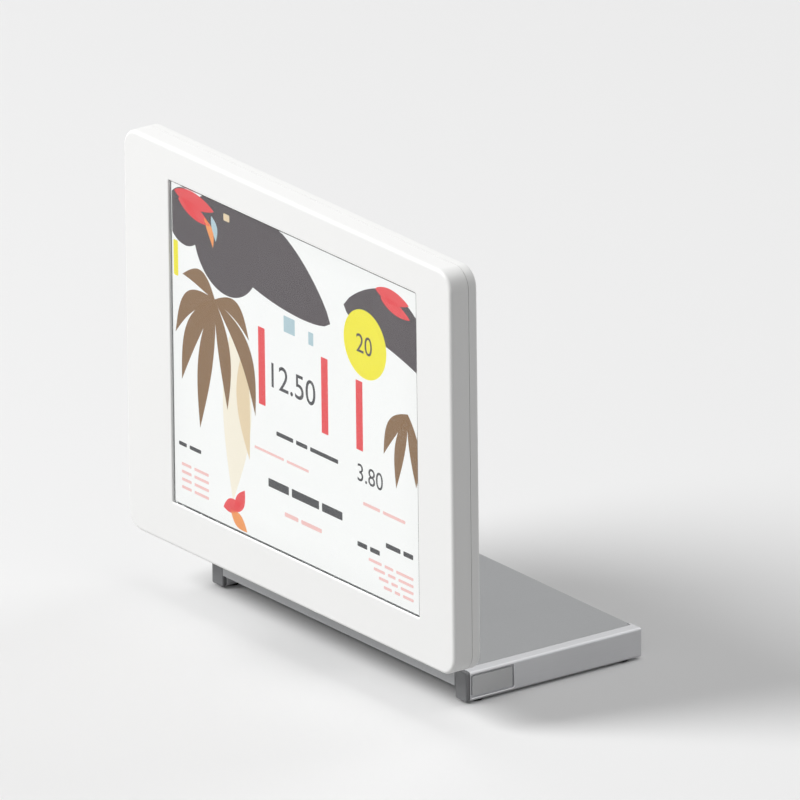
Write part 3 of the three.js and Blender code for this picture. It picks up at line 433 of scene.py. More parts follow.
def circle(radius, centre=(0, 0), steps=ROUND):
    turns = (2 * math.pi * i / steps for i in range(steps))
    return [(centre[0] + radius * math.cos(a), centre[1] + radius * math.sin(a)) for a in turns]


def arc(radius, centre, start, end, steps=16):
    turns = (math.radians(start + (end - start) * i / steps) for i in range(steps + 1))
    return [(centre[0] + radius * math.cos(a), centre[1] + radius * math.sin(a)) for a in turns]


def on_axis(axis, outline, level):
    """Lifts a flat outline to a level on an axis: (y, z) for x, (x, z) for y and (x, y) for z."""
    order = {"x": lambda u, v: (level, u, v), "y": lambda u, v: (u, level, v)}
    lift = order.get(axis, lambda u, v: (u, v, level))
    return [Vector(lift(u, v)) * MM for u, v in outline]


def solid(axis, rings, hoop=False):
    """A closed mesh through rings of (outline, level): capped at both ends, or joined in a hoop."""
    bm = bmesh.new()
    loops = [[bm.verts.new(p) for p in on_axis(axis, outline, level)] for outline, level in rings]
    pairs = list(zip(loops, loops[1:]))
    if hoop:
        pairs.append((loops[-1], loops[0]))
    else:
        bm.faces.new(loops[0])
        bm.faces.new(loops[-1])
    for low, high in pairs:
        count = len(low)
        for i in range(count):
            j = (i + 1) % count
            bm.faces.new((low[i], low[j], high[j], high[i]))
    bmesh.ops.recalc_face_normals(bm, faces=bm.faces)
    return bm


def quarter(outline, level, radius, toward, steps=5):
    """Rings that round an outline's side over into a face at the level."""
    rings = []
    for i in range(steps + 1):
        angle = math.pi / 2 * i / steps
        inset = radius * (1 - math.cos(angle))
        rings.append((outline(inset), level - toward * radius * (1 - math.sin(angle))))
    return rings


def swept(outline, level, radius, steps=4):
    """Rings that turn from a face at the level into an outline's side, towards the back."""
    rings = []
    for i in range(steps + 1):
        angle = math.pi / 2 * i / steps
        grown, depth = radius * (1 - math.sin(angle)), radius * (1 - math.cos(angle))
        rings.append((outline(-grown), level + depth))
    return rings


def block(axis, outline, low, high, edge, low_edge=None):
    """A slab with rounded rims; its low rim may differ from its high one."""
    first = quarter(outline, low, edge if low_edge is None else low_edge, -1)
    return solid(axis, first[::-1] + quarter(outline, high, edge, 1))


def prism(axis, points, low, high):
    return solid(axis, [(points, low), (points, high)])


def bore(axis, centre, radius, low, high, steps=ROUND):
    return prism(axis, circle(radius, centre, steps), low, high)


def turned(axis, centre, profile, steps=ROUND):
    """A turned part from a profile of (radius, level): from axis line to axis line, or a hoop."""
    hoop = profile[0][0] > 0
    kept = profile if hoop else profile[1:-1]
    return solid(axis, [(circle(r, centre, steps), level) for r, level in kept], hoop)


def joined(*parts):
    """Several closed meshes as one."""
    whole = bmesh.new()
    for part in parts:
        mesh = bpy.data.meshes.new("part")
        part.to_mesh(mesh)
        part.free()
        whole.from_mesh(mesh)
        bpy.data.meshes.remove(mesh)
    return whole


def as_object(name, bm):
    mesh = bpy.data.meshes.new(name)
    bm.to_mesh(mesh)
    bm.free()
    obj = bpy.data.objects.new(name, mesh)
    bpy.context.scene.collection.objects.link(obj)
    return obj


def settle(obj):
    """Turns an object's modifiers into plain mesh."""
    graph = bpy.context.evaluated_depsgraph_get()
    mesh = bpy.data.meshes.new_from_object(obj.evaluated_get(graph))
    obj.modifiers.clear()
    obj.data = mesh


def combine(obj, part, operation):
    """Joins or cuts an object with a closed mesh."""
    tool = as_object("tool", part)
    step = obj.modifiers.new("cut", "BOOLEAN")
    step.operation, step.solver, step.object = operation, "EXACT", tool
    settle(obj)
    bpy.data.objects.remove(tool)


def ease(obj, width, segments=3):
    """Rounds every sharp rim a little."""
    step = obj.modifiers.new("rim", "BEVEL")
    step.width, step.segments = width * MM, segments
    step.limit_method, step.angle_limit = "ANGLE", math.radians(38)
    step.use_clamp_overlap = True
    settle(obj)


def finished(obj, material, body, slot, *replaced, sharp=32):
    """Gives a piece its finish, smooth shading and body; the slot is not used."""
    obj.data.materials.clear()
    obj.data.materials.append(material)
    obj.data.shade_smooth()
    obj.data.set_sharp_from_angle(angle=math.radians(sharp))
    level = obj.modifiers.new("flat_faces_first", "WEIGHTED_NORMAL")
    level.keep_sharp = True
    level.weight = 90
    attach(obj, body)
    if replaced:
        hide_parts(*replaced)


def chamfered_hole(axis, outline, inner, mouth, toward, rim=0.35):
    """A cutter that runs from inside out through a wall and widens at its mouth."""
    rings = [(outline(0), inner), (outline(0), mouth - toward * rim)]
    rings += [(outline(-rim), mouth), (outline(-rim), mouth + toward)]
    return solid(axis, rings)


# ---- Screen housing ----

WALL = 2.2
HOUSING_CORNER, HOUSING_EDGE = 11, 2
BULGE, BULGE_DEPTH = (190, 130), 8  # the raised box on the rear cover
BULGE_CORNER, BULGE_EDGE, CREASE = 10, 2, 1.2
COVER_FACE = node_box("head_bracket")[0].y - FIT - BULGE_DEPTH
COVER_BACK = COVER_FACE + BULGE_DEPTH
COOLING_SLOTS, SLOT_PITCH, SLOT_HEIGHT, SLOT_MARGIN = 8, 7, 2.4, 20
KEYS = ("key_power", "key_menu", "key_minus", "key_plus", "key_source")
KEY, KEY_CORNER = (8, 5), 1.2  # a key cap's width and height, and its corners
SOCKETS = ("dc_socket", "usb_socket", "video_socket")
housing = inset_of(*HOUSING, HOUSING_CORNER, CENTRE)
lens_size, lens_centre = outline_of("lens_glass", "y")
window = inset_of(lens_size[0] + 2 * FIT, lens_size[1] + 2 * FIT, 1, lens_centre)


def front_bezel():
    """The front shell: rounded rim, wide frame, and a stepped window with a soft edge."""
    ledge_front = node_box("lens_tape")[1].y + FIT
    ledge_back = node_box("lcd_clamp")[0].y - FIT
    reach = 3  # of the ledge behind the glass
    surround = 3  # the thickness of the wall round the window
    lip = 0.7  # the radius of the window's edge
    rings = [(housing(0), bezel_high.y), (housing(0), FRONT + HOUSING_EDGE + 1)]
    rings += quarter(housing, FRONT, HOUSING_EDGE, -1, 8)
    rings += [(window(-lip - 0.5), FRONT)] + swept(window, FRONT, lip)
    rings += [
        (window(0), ledge_front),
        (window(reach), ledge_front),
        (window(reach), ledge_back),
        (window(-surround), ledge_back),
        (window(-surround), FRONT + WALL),
        (housing(WALL + 1), FRONT + WALL),
        (housing(WALL), FRONT + WALL + 1),
        (housing(WALL), bezel_high.y),
    ]
    obj = as_object("front_bezel_shell", solid("y", rings, hoop=True))
    finished(obj, WHITE, "head", "white_housing", "front_bezel", sharp=40)


def cooling_slots():
    """Cutters for the slots on both sides of the bracket's plate."""
    plate_w = outline_of("head_bracket", "y")[0][0]
    width = (BULGE[0] - plate_w) / 2 - SLOT_MARGIN
    cutters = []
    for side in (-1, 1):
        x = side * (BULGE[0] + plate_w) / 4
        for i in range(COOLING_SLOTS):
            z = CENTRE[1] + (i - (COOLING_SLOTS - 1) / 2) * SLOT_PITCH
            slot = inset_of(width, SLOT_HEIGHT, SLOT_HEIGHT / 2 - 0.01, (x, z), steps=6)
            cutters.append(chamfered_hole("y", slot, COVER_BACK - WALL - 1, COVER_BACK, 1))
    return cutters


def screw_wells():
    """Cutters for the wells of the four housing screws, each with a chamfered mouth."""
    deep, seat, rim, mouth = (COVER_FACE - d for d in (8, 1.2, 0.4, 0))
    head_r, mouth_r = 3.1, 3.5
    profile = [(0, deep), (PIN_BORE, deep), (PIN_BORE, seat), (head_r, seat), (head_r, rim)]
    profile += [(mouth_r, mouth), (mouth_r, mouth + 1), (0, mouth + 1)]
    places = [middle_of(f"housing_screw_{i}") for i in range(1, 5)]
    return [turned("y", (at.x, at.z), profile, SCREW_ROUND) for at in places]


def key_openings():
    cutters = []
    for name in KEYS:
        at = middle_of(name)
        size = (KEY[0] + 2 * FIT, KEY[1] + 2 * FIT)
        opening = inset_of(*size, KEY_CORNER + FIT, (at.x, at.z), steps=5)
        cutters.append(chamfered_hole("y", opening, COVER_FACE - WALL - 1, COVER_FACE, 1, 0.3))
    return cutters


def socket_openings():
    """Cutters for the sockets' mouths in the lower edge of the cover."""
    cutters = []
    for name in SOCKETS:
        size, centre = outline_of(name, "z")
        opening = inset_of(size[0] + 2 * FIT, size[1] + 2 * FIT, 0.6, centre, steps=4)
        mouth = node_box(name)[0].z - FIT
        cutters.append(chamfered_hole("z", opening, mouth + WALL + 1, mouth, -1, 0.4))
    return cutters


def rear_cover():
    """The rear shell with its raised box, cooling slots, key openings and screw wells."""
    bulge = inset_of(*BULGE, BULGE_CORNER, CENTRE)
    rings = [
        (bulge(WALL), COVER_BACK - WALL),
        (bulge(WALL), COVER_FACE - WALL),
        (housing(WALL + 1), COVER_FACE - WALL),
        (housing(WALL), COVER_FACE - WALL - 1),
        (housing(WALL), cover_low.y),
        (housing(0), cover_low.y),
    ]
    rings += quarter(housing, COVER_FACE, HOUSING_EDGE, 1, 8)
    rings += [(bulge(-CREASE - 0.5), COVER_FACE)] + swept(bulge, COVER_FACE, CREASE)
    rings += quarter(bulge, COVER_BACK, BULGE_EDGE, 1, 6)
    obj = as_object("rear_cover_shell", solid("y", rings))
    cutters = cooling_slots() + screw_wells() + key_openings() + socket_openings()
    combine(obj, joined(*cutters), "DIFFERENCE")
    finished(obj, WHITE, "head", "white_housing", "rear_cover", sharp=40)


# ---- Screen ----

PLY, PLY_STEP = 0.03, 0.055  # thickness and spacing of the layers on the back of the glass
PANEL_FRONT = lens_high.y + 0.2  # the lit panel, which lies behind all of them
PICTURE_MARGIN = 0.9  # how far the picture stays inside the glass
WORD_GAP = 0.012  # between the words of a line, as a share of the picture's width
INKS = {
    "charcoal": (0.085, 0.070, 0.078),
    "red": (0.82, 0.07, 0.08),
    "orange": (0.90, 0.33, 0.10),
    "yellow": (0.91, 0.82, 0.03),
    "brown": (0.25, 0.14, 0.065),
    "tan": (0.80, 0.64, 0.42),
    "cream": (0.93, 0.86, 0.72),
    "pale_blue": (0.45, 0.60, 0.66),
    "ink": (0.06, 0.06, 0.066),
    "pink": (0.90, 0.55, 0.53),
}


def cover_lens():
    outline = inset_of(*lens_size, 0.8, lens_centre, steps=4)
    obj = as_object("cover_lens", block("y", outline, lens_low.y, lens_high.y, 0.25))
    finished(obj, GLASS, "head", "clear_lens", "lens_glass")


def lens_print():
    """The thin dark line printed round the glass."""
    front = lens_high.y + 0.01
    outer, inner = window(FIT + 0.1), window(FIT + 0.6)
    rings = [(outer, front), (outer, front + PLY / 2), (inner, front + PLY / 2), (inner, front)]
    obj = as_object("print_line", solid("y", rings, hoop=True))
    finished(obj, PRINT_DARK, "head", "clear_lens")


def lit_panel():
    """The white lit ground of the picture, bonded to the glass."""
    panel = prism("y", window(FIT + 0.2), PANEL_FRONT, PANEL_FRONT + PLY)
    finished(as_object("lit_panel", panel), SCREEN, "head", "lcd_glass")


class Picture:
    """Patches of ink on the screen, placed in shares of its size from its lower left."""

    def __init__(self):
        self.left, self.bottom = lens_low.x, lens_low.z
        self.wide, self.tall = lens_size
        self.patches = {}

    def at(self, u, v):
        """A place in millimetres."""
        return self.left + u * self.wide, self.bottom + v * self.tall

    def front(self, layer):
        """The front of a layer; layer 0 is the deepest."""
        return PANEL_FRONT - (layer + 1) * PLY_STEP

    def keep(self, ink, patch):
        self.patches.setdefault(ink, []).append(patch)

    def add(self, ink, points, layer=0):
        """Keeps an outline inside the picture, drops points that then coincide, and inks it."""
        kept = []
        for x, z in points:
            x = min(max(x, self.left + PICTURE_MARGIN), self.left + self.wide - PICTURE_MARGIN)
            z = min(max(z, self.bottom + PICTURE_MARGIN), self.bottom + self.tall - PICTURE_MARGIN)
            if not kept or math.dist((x, z), kept[-1]) > 0.02:
                kept.append((x, z))
        if math.dist(kept[0], kept[-1]) < 0.02:
            kept.pop()
        front = self.front(layer)
        self.keep(ink, prism("y", kept, front, front + PLY))

    def spot(self, ink, u, v, radius, layer=0, sides=48):
        self.add(ink, circle(radius * self.wide, self.at(u, v), sides), layer)

    def bar(self, ink, u, v, w, h, corner=0.4, layer=0):
        """A block from its lower left, with corners in millimetres."""
        w, h = w * self.wide, h * self.tall
        x, z = self.at(u, v)
        corner = min(corner, w / 2.1, h / 2.1)
        self.add(ink, rounded(w, h, corner, (x + w / 2, z + h / 2), 6), layer)

    def words(self, ink, u, v, w, h, *lengths):
        """A line of text shown as short bars of the given relative lengths."""
        free = w - WORD_GAP * (len(lengths) - 1)
        for length in lengths:
            span = free * length / sum(lengths)
            self.bar(ink, u, v, span, h, 0.5)
            u += span + WORD_GAP

    def leaf(self, ink, u, v, length, width, angle, sweep=0.0, layer=0, full=1.0):
        """A leaf from its stem, with a curved middle line; a lower full makes its ends rounder."""
        x, z = self.at(u, v)
        cos, sin = math.cos(math.radians(angle)), math.sin(math.radians(angle))
        steps = 26
        rim = []
        for side in (1, -1):
            for i in range(steps):
                t = i / steps if side > 0 else 1 - i / steps
                half = width / 2 * math.sin(math.pi * t**0.9) ** full
                a, b = length * t, side * half + sweep * math.sin(math.pi * t)
                rim.append((x + a * cos - b * sin, z + a * sin + b * cos))
        self.add(ink, rim[::-1], layer)

    def figures(self, ink, text, size, u, v, layer=1):
        """Plain figures, size millimetres high."""
        curve = bpy.data.curves.new("figures", "FONT")
        curve.body, curve.size, curve.extrude = text, size * MM, PLY / 2 * MM
        curve.resolution_u = 6
        drawn = bpy.data.objects.new("figures", curve)
        bpy.context.scene.collection.objects.link(drawn)
        mesh = bpy.data.meshes.new_from_object(drawn)
        bpy.data.objects.remove(drawn)
        x, z = self.at(u, v)
        spot = Vector((x, self.front(layer) + PLY / 2, z)) * MM
        mesh.transform(Matrix.Translation(spot) @ Matrix.Rotation(math.pi / 2, 4, "X"))
        bm = bmesh.new()
        bm.from_mesh(mesh)
        bmesh.ops.remove_doubles(bm, verts=bm.verts, dist=1e-7)
        bpy.data.meshes.remove(mesh)
        self.keep(ink, bm)

    def finish(self):
        """Makes one piece of each ink."""
        for ink, patches in self.patches.items():
            obj = as_object(f"picture_{ink}", joined(*patches))
            finished(obj, lit(f"picture_{ink}", INKS[ink]), "head", "lcd_glass")


def corner_flowers(p):
    """Dark lobes and leaves at both upper corners, red petals over them and a yellow spot."""
    p.spot("charcoal", 0.055, 0.905, 0.072)
    p.spot("charcoal", 0.225, 0.885, 0.135, 1, sides=64)
    p.leaf("charcoal", 0.13, 0.925, 118, 44, -13, 7, full=0.7)
    p.leaf("charcoal", 0.70, 0.86, 92, 33, -15, 14, full=0.7)
    for u, v, length, width, angle, full in (
        (0.015, 0.975, 36, 9, -4, 0.8),
        (0.03, 0.955, 30, 8, -15, 0.8),
        (0.05, 0.965, 17, 5, -38, 1),
        (0.83, 0.955, 30, 8, -3, 0.8),
        (0.85, 0.935, 27, 7, -12, 0.8),
    ):
        p.leaf("red", u, v, length, width, angle, layer=2, full=full)
    p.leaf("orange", 0.135, 0.93, 17, 5, -62, 2, 2)
    p.leaf("pale_blue", 0.165, 0.945, 14, 5, -74, 1, 2)
    p.bar("tan", 0.215, 0.95, 0.024, 0.022, 0.6, 2)
    p.bar("yellow", 0.008, 0.71, 0.018, 0.11, 1)
    p.spot("yellow", 0.785, 0.765, 0.086, 1)


def sprays(p):
    """A brown spray over pale leaves at the left, a small one at the right, and three petals."""
    p.leaf("cream", 0.255, 0.66, 104, 26, -92, 3)
    p.leaf("tan", 0.29, 0.58, 62, 12, -86, -3, 1)
    for length, width, angle, sweep in (
        (30, 10, 168, -5),
        (46, 11, -142, -8),
        (62, 12, -120, -6),
        (78, 13, -101, -2),
        (60, 11, -80, 3),
        (66, 12, -57, 10),
        (34, 10, -25, 7),
    ):
        p.leaf("brown", 0.175, 0.69, length, width, angle, sweep, 2)
    for length, angle, sweep in ((36, -128, -4), (46, -104, -2), (40, -80, 2)):
        p.leaf("brown", 0.955, 0.61, length, 9, angle, sweep, 1)
    for ink, u, angle in (("red", 0.20, 20), ("orange", 0.23, -30), ("red", 0.25, 60)):
        p.leaf(ink, u, 0.055, 17, 8, angle, layer=1)


def prices(p):
    """Thin red bars, two small blocks, lines of words and the figures."""
    for u, rise in ((0.35, 0.24), (0.605, 0.235), (0.745, 0.215)):
        p.bar("red", u, 0.43, 0.027, rise)
    p.bar("pale_blue", 0.455, 0.69, 0.045, 0.05)
    p.bar("pale_blue", 0.555, 0.685, 0.02, 0.04)
    p.words("ink", 0.42, 0.355, 0.25, 0.013, 3, 2, 5)
    p.words("pink", 0.33, 0.285, 0.22, 0.008, 4, 3)
    p.words("ink", 0.385, 0.185, 0.30, 0.026, 3, 4, 3)
    p.words("pink", 0.45, 0.115, 0.15, 0.013, 2, 3)
    p.words("pink", 0.77, 0.265, 0.17, 0.010, 3, 4)
    p.words("ink", 0.86, 0.165, 0.11, 0.015, 3, 2)
    p.words("ink", 0.745, 0.13, 0.09, 0.015, 1, 1)
    p.words("ink", 0.02, 0.185, 0.09, 0.012, 2, 3)
    for i in range(4):
        p.words("pink", 0.79 + 0.02 * i, 0.10 - 0.022 * i, 0.18 - 0.02 * i, 0.009, 3, 2, 4)
        p.words("pink", 0.03, 0.125 - 0.024 * i, 0.11, 0.009, 2, 3)
    p.figures("ink", "12.50", 20, 0.385, 0.50)
    p.figures("charcoal", "20", 15, 0.748, 0.735, 2)
    p.figures("ink", "3.80", 14, 0.745, 0.335)


def picture():
    """A plain floral sales picture."""
    drawing = Picture()
    corner_flowers(drawing)
    sprays(drawing)
    prices(drawing)
    drawing.finish()


# ---- Keys and sockets ----

MARK_SINK, MARK_RISE = 0.1, 0.12  # how far a mark reaches into its key and stands out of it


def key_marks(name, x, z, top):
    """Raised marks of a key: thin bars or rings."""
    foot, crest = top - MARK_SINK, top + MARK_RISE

    def bar(w, h, right=0.0, up=0.0):
        outline = inset_of(w, h, 0.15, (x + right, z + up), steps=3)
        return block("y", outline, foot, crest, 0.05)

    def ring(radius, width):
        inner = radius - width
        profile = [(inner, foot), (radius, foot), (radius, crest), (inner, crest)]
        return turned("y", (x, z), profile, PIN_ROUND)

    if name == "key_power":
        return [ring(1.4, 0.42), bar(0.42, 1.3, 0, 0.3)]
    if name == "key_menu":
        return [bar(2.8, 0.42, 0, rise) for rise in (-0.9, 0, 0.9)]
    if name == "key_minus":
        return [bar(2.6, 0.46)]
    if name == "key_plus":
        return [bar(2.6, 0.46), bar(0.46, 2.6)]
    return [bar(2.9, 0.4, 0, rise) for rise in (-0.95, 0.95)] + [bar(0.4, 2.3, 1.25)]


def key(name):
    """A key cap with a soft top, a flange behind the cover's wall and a post to the switch."""
    low, high = node_box(name)
    size, centre = outline_of(name, "y")
    flange_back = COVER_FACE - WALL - FIT
    cap = inset_of(*KEY, KEY_CORNER, centre, steps=5)
    flange = inset_of(*size, 0.3, centre, steps=3)
    post_r, post_top = 1.5, flange_back - 0.5
    post = [(0, low.y), (post_r - 0.1, low.y), (post_r, low.y + 0.1)]
    post += [(post_r, post_top), (0, post_top)]
    parts = [
        solid("y", [(cap(0), flange_back - 0.4)] + quarter(cap, high.y, 0.6, 1)),
        block("y", flange, flange_back - 1.1, flange_back, 0.1),
        turned("y", centre, post, 24),
    ]
    finished(as_object(f"{name}_cap", joined(*parts)), KEY_GREY, name, "grey_plastic", name)
    marks = as_object(f"{name}_mark", joined(*key_marks(name, *centre, high.y)))
    finished(marks, MARK, name, "grey_plastic")


def socket(name):
    """A socket in its CAD shape, with its flat faces made whole and its rims eased."""
    bm = bmesh.new()
    bm.from_mesh(nodes[name].data)
    bmesh.ops.remove_doubles(bm, verts=bm.verts, dist=1e-6)
    flat = math.radians(1)
    bmesh.ops.dissolve_limit(bm, angle_limit=flat, verts=bm.verts, edges=bm.edges)
    obj = as_object(f"{name}_finished", bm)
    ease(obj, 0.12, 2)
    finished(obj, BLACK, "head", "black_plastic", name)


# ---- Screws ----


def screw(name, axis, body, diameter, head_d, head_h):
    """A pan-head screw with a domed head and a cross recess. Its head is at the axis's high end."""
    low, high = node_box(name)
    at = middle_of(name)
    centre = (at.x, at.z) if axis == "y" else (at.x, at.y)
    tip, top = (low.y, high.y) if axis == "y" else (low.z, high.z)
    seat = top - head_h
    shank_r, head_r = diameter / 2, head_d / 2
    straight = 0.45  # the share of the head's height below its dome
    profile = [(0, tip), (shank_r - 0.3, tip), (shank_r, tip + 0.6), (shank_r, seat)]
    profile += [(head_r - 0.1, seat), (head_r, seat + 0.15), (head_r, seat + head_h * straight)]
    for i in range(1, 7):
        angle = math.pi / 2 * i / 6
        rise = straight + (1 - straight) * math.sin(angle)
        profile.append((head_r * math.cos(angle * 0.94), seat + head_h * rise))
    profile.append((0, top))
    obj = as_object(f"{name}_turned", turned(axis, centre, profile, SCREW_ROUND))
    length, thickness, depth = head_d * 0.27, head_d * 0.062, head_h * 0.72
    corners = ((1, -1), (1, 1), (-1, 1), (-1, -1))

    def cross_arm(w, h):
        """A cutter for one arm of the recess, half as wide at its bottom."""
        mouth = [(centre[0] + sx * w, centre[1] + sy * h) for sx, sy in corners]
        bottom = [(centre[0] + sx * w / 2, centre[1] + sy * h / 2) for sx, sy in corners]
        return solid(axis, [(bottom, top - depth), (mouth, top), (mouth, top + 0.5)])

    combine(obj, cross_arm(length, thickness), "DIFFERENCE")
    combine(obj, cross_arm(thickness, length), "DIFFERENCE")
    finished(obj, ZINC, body, "plain_steel", name, sharp=30)


# ---- Bracket and hinge ----

BRACKET_SHEET, PLATE_CORNER = 2.5, 6
EAR_R, EARS_OUTER = 12, 28.2  # the ears' round ends, and half the width over both ears
GUSSET = 3  # the legs of the gussets at the foot of each ear
THROUGH = 40  # half the length of a bore through both ears or cheeks


def head_bracket():
    """The plate on the housing with two ears that reach back to the tilt axis."""
    low, high = node_box("head_bracket")
    size, centre = outline_of("head_bracket", "y")
    base = low.y + BRACKET_SHEET
    plate = rounded(*size, PLATE_CORNER, centre)
    obj = as_object("head_bracket_folded", prism("y", plate, low.y, base))
    bottom, top = AXIS.z - EAR_R, AXIS.z + EAR_R
    foot = low.y + BRACKET_SHEET / 2
    ear = [(foot, bottom), *arc(EAR_R, TILT, -90, 90, 40), (foot, top)]
    gusset = [(base - 0.5, bottom - GUSSET), (base, bottom - GUSSET), (base + GUSSET, bottom)]
    gusset += [(base + GUSSET, top), (base, top + GUSSET), (base - 0.5, top + GUSSET)]
    for x in (-EARS_OUTER, EARS_OUTER - BRACKET_SHEET):
        combine(obj, prism("x", ear, x, x + BRACKET_SHEET), "UNION")
        combine(obj, prism("x", gusset, x, x + BRACKET_SHEET), "UNION")
    holes = [bore("x", TILT, AXLE_BORE, -THROUGH, THROUGH)]
    for i in range(1, 5):
        at = middle_of(f"bracket_screw_{i}")
        holes.append(bore("y", (at.x, at.z), SCREW_BORE, low.y - 1, base + 1, SCREW_ROUND))
    combine(obj, joined(*holes), "DIFFERENCE")
    pin = middle_of("stop_pin")  # in one ear only
    pin_hole = bore("x", (pin.y, pin.z), PIN_BORE, THROUGH / 2, THROUGH, PIN_ROUND)
    combine(obj, pin_hole, "DIFFERENCE")
    ease(obj, 0.35)
    finished(obj, COAT, "head", "powder_coat", "head_bracket")


def round_bar(name, material, slot, centre, radius, rim, inner=0, sides=ROUND):
    """A bar or tube across the head, with chamfered ends."""
    low, high = node_box(name)
    profile = [(inner, low.x), (radius - rim, low.x), (radius, low.x + rim)]
    profile += [(radius, high.x - rim), (radius - rim, high.x), (inner, high.x)]
    obj = as_object(f"{name}_turned", turned("x", centre, profile, sides))
    finished(obj, material, "head", slot, name)


def spacer_tube():
    """The tube on the axle between the ears."""
    round_bar("spacer_tube", TUBE, "plain_aluminium", TILT, 6, 0.4, AXLE_BORE)


def stop_pin():
    """The pin that runs in the slot of the neck bracket."""
    at = middle_of("stop_pin")
    round_bar("stop_pin", ZINC, "plain_steel", (at.y, at.z), 1.5, 0.3, sides=PIN_ROUND)


def hinge_cap(name, side):
    """A round cap over one end of the axle, with a shallow dimple in its face."""
    low, high = node_box(name)
    near, far = (high.x, low.x) if side < 0 else (low.x, high.x)
    radius, wall, edge, dimple, dimple_r = 11, 1.8, 2.4, 0.5, 5
    pocket = far - side * (wall + dimple)

    def cap(inset):
        return circle(radius - inset, TILT)

    rings = [(cap(wall + 1), pocket), (cap(wall), pocket - side), (cap(wall), near)]
    rings += [(cap(0.2), near), (cap(0), near + side * 0.2)] + quarter(cap, far, edge, side, 8)
    rings += [(circle(dimple_r + 0.5, TILT), far), (circle(dimple_r, TILT), far - side * dimple)]
    obj = as_object(f"{name}_turned", solid("x", rings))
    finished(obj, GREY, "stand", "grey_plastic", name)


# ---- Neck ----

NECK_SHEET, CHEEK_R = 3, 13
NECK_BACK = FRONT + 55  # the rear face of the web
CHEEK_DEPTH = 16.5  # from there to the cheeks' front edge
STOP_REACH, STOP_SLOT = 8.2, (-22, 7)  # the stop pin's distance from the axis, its slot's ends
SLEEVE_WALL, SLEEVE_CORNER = 2, 4  # of the neck cover and the foot cover


def stop_slot():
    """The curved slot with round ends that the stop pin follows round the tilt axis."""
    start, end = STOP_SLOT

    def slot_end(angle, first):
        turn = math.radians(angle)
        centre = (AXIS.y + STOP_REACH * math.cos(turn), AXIS.z + STOP_REACH * math.sin(turn))
        return arc(PIN_BORE, centre, first, first + 180, 12)[1:-1]

    outline = arc(STOP_REACH + PIN_BORE, TILT, start, end, 20) + slot_end(end, end)
    outline += arc(STOP_REACH - PIN_BORE, TILT, end, start, 20) + slot_end(start, start + 180)
    return outline


def neck_bracket():
    """The folded upright: a web, two cheeks round the hinge, and a flange on the stand."""
    low, high = node_box("neck_bracket")
    half, sheet, back = high.x, NECK_SHEET, NECK_BACK
    front = back - CHEEK_DEPTH
    web = rounded(2 * half, sheet, 0.1, (0, back - sheet / 2), 2)
    web_top = AXIS.z - CHEEK_R - sheet
    obj = as_object("neck_bracket_folded", prism("z", web, low.z, web_top))
    front_turn = math.degrees(math.asin((front - AXIS.y) / CHEEK_R))
    back_turn = math.degrees(math.acos((back - AXIS.y) / CHEEK_R))
    head = arc(CHEEK_R, TILT, 270 + front_turn, -back_turn, 56)
    cheek = [(front, low.z), *head, (back, low.z)]
    for x in (-half, half - sheet):
        combine(obj, prism("x", cheek[::-1], x, x + sheet), "UNION")
    flange = rounded(2 * half, high.y - back + 1, 0.1, (0, (high.y + back - 1) / 2), 2)
    combine(obj, prism("z", flange, low.z, low.z + sheet), "UNION")
    combine(obj, bore("x", TILT, AXLE_BORE, -THROUGH, THROUGH), "DIFFERENCE")
    combine(obj, prism("x", stop_slot(), half - sheet - 1.5, half + 5), "DIFFERENCE")
    ease(obj, 0.35)
    finished(obj, COAT, "stand", "powder_coat", "neck_bracket")


def cover_outlines(name, inner_corner):
    """A cover's outer outline, the outline of its room, and the room's width."""
    size, centre = outline_of(name, "z")
    room = (size[0] - 2 * SLEEVE_WALL, size[1] - 2 * SLEEVE_WALL)
    return inset_of(*size, SLEEVE_CORNER, centre), inset_of(*room, inner_corner, centre), room[0]


def neck_cover():
    """The plastic sleeve round the upright, with a notch for the flange at its foot."""
    low, high = node_box("neck_cover")
    outer, inner, room = cover_outlines("neck_cover", 1.2)
    rim = 0.4
    rings = [(outer(0), low.z)] + quarter(outer, high.z, 0.9, 1)
    rings += [(inner(-rim), high.z), (inner(0), high.z - rim), (inner(0), low.z)]
    obj = as_object("neck_cover_moulded", solid("z", rings, hoop=True))
    notch = rounded(room, 8, 0.3, (0, high.y), 2)
    combine(obj, prism("z", notch, low.z - 1, low.z + NECK_SHEET + FIT), "DIFFERENCE")
    finished(obj, GREY, "stand", "grey_plastic", "neck_cover")


def foot_cover():
    """The low cap over the flange and its screws, open towards the sleeve."""
    low, high = node_box("foot_cover")
    outer, inner, room = cover_outlines("foot_cover", 2)
    ceiling = high.z - SLEEVE_WALL
    rings = [(inner(0), ceiling), (inner(0), low.z), (outer(0), low.z)]
    rings += quarter(outer, high.z, 2, 1, 6)
    obj = as_object("foot_cover_moulded", solid("z", rings))
    doorway = rounded(room, 8, 0.3, (0, low.y), 2)
    combine(obj, prism("z", doorway, low.z - 1, ceiling), "DIFFERENCE")
    finished(obj, GREY, "stand", "grey_plastic", "foot_cover")


# ---- Stand ----

PLATE_SHEET, PLATE_BEND, PLATE_INNER_BEND = 2.5, 2.5, 0.8
RAIL_SEAT = 3  # how far the plate lies in each rail
RAIL_CORNER = 1.4
SIDES = (("left", -1), ("right", 1))


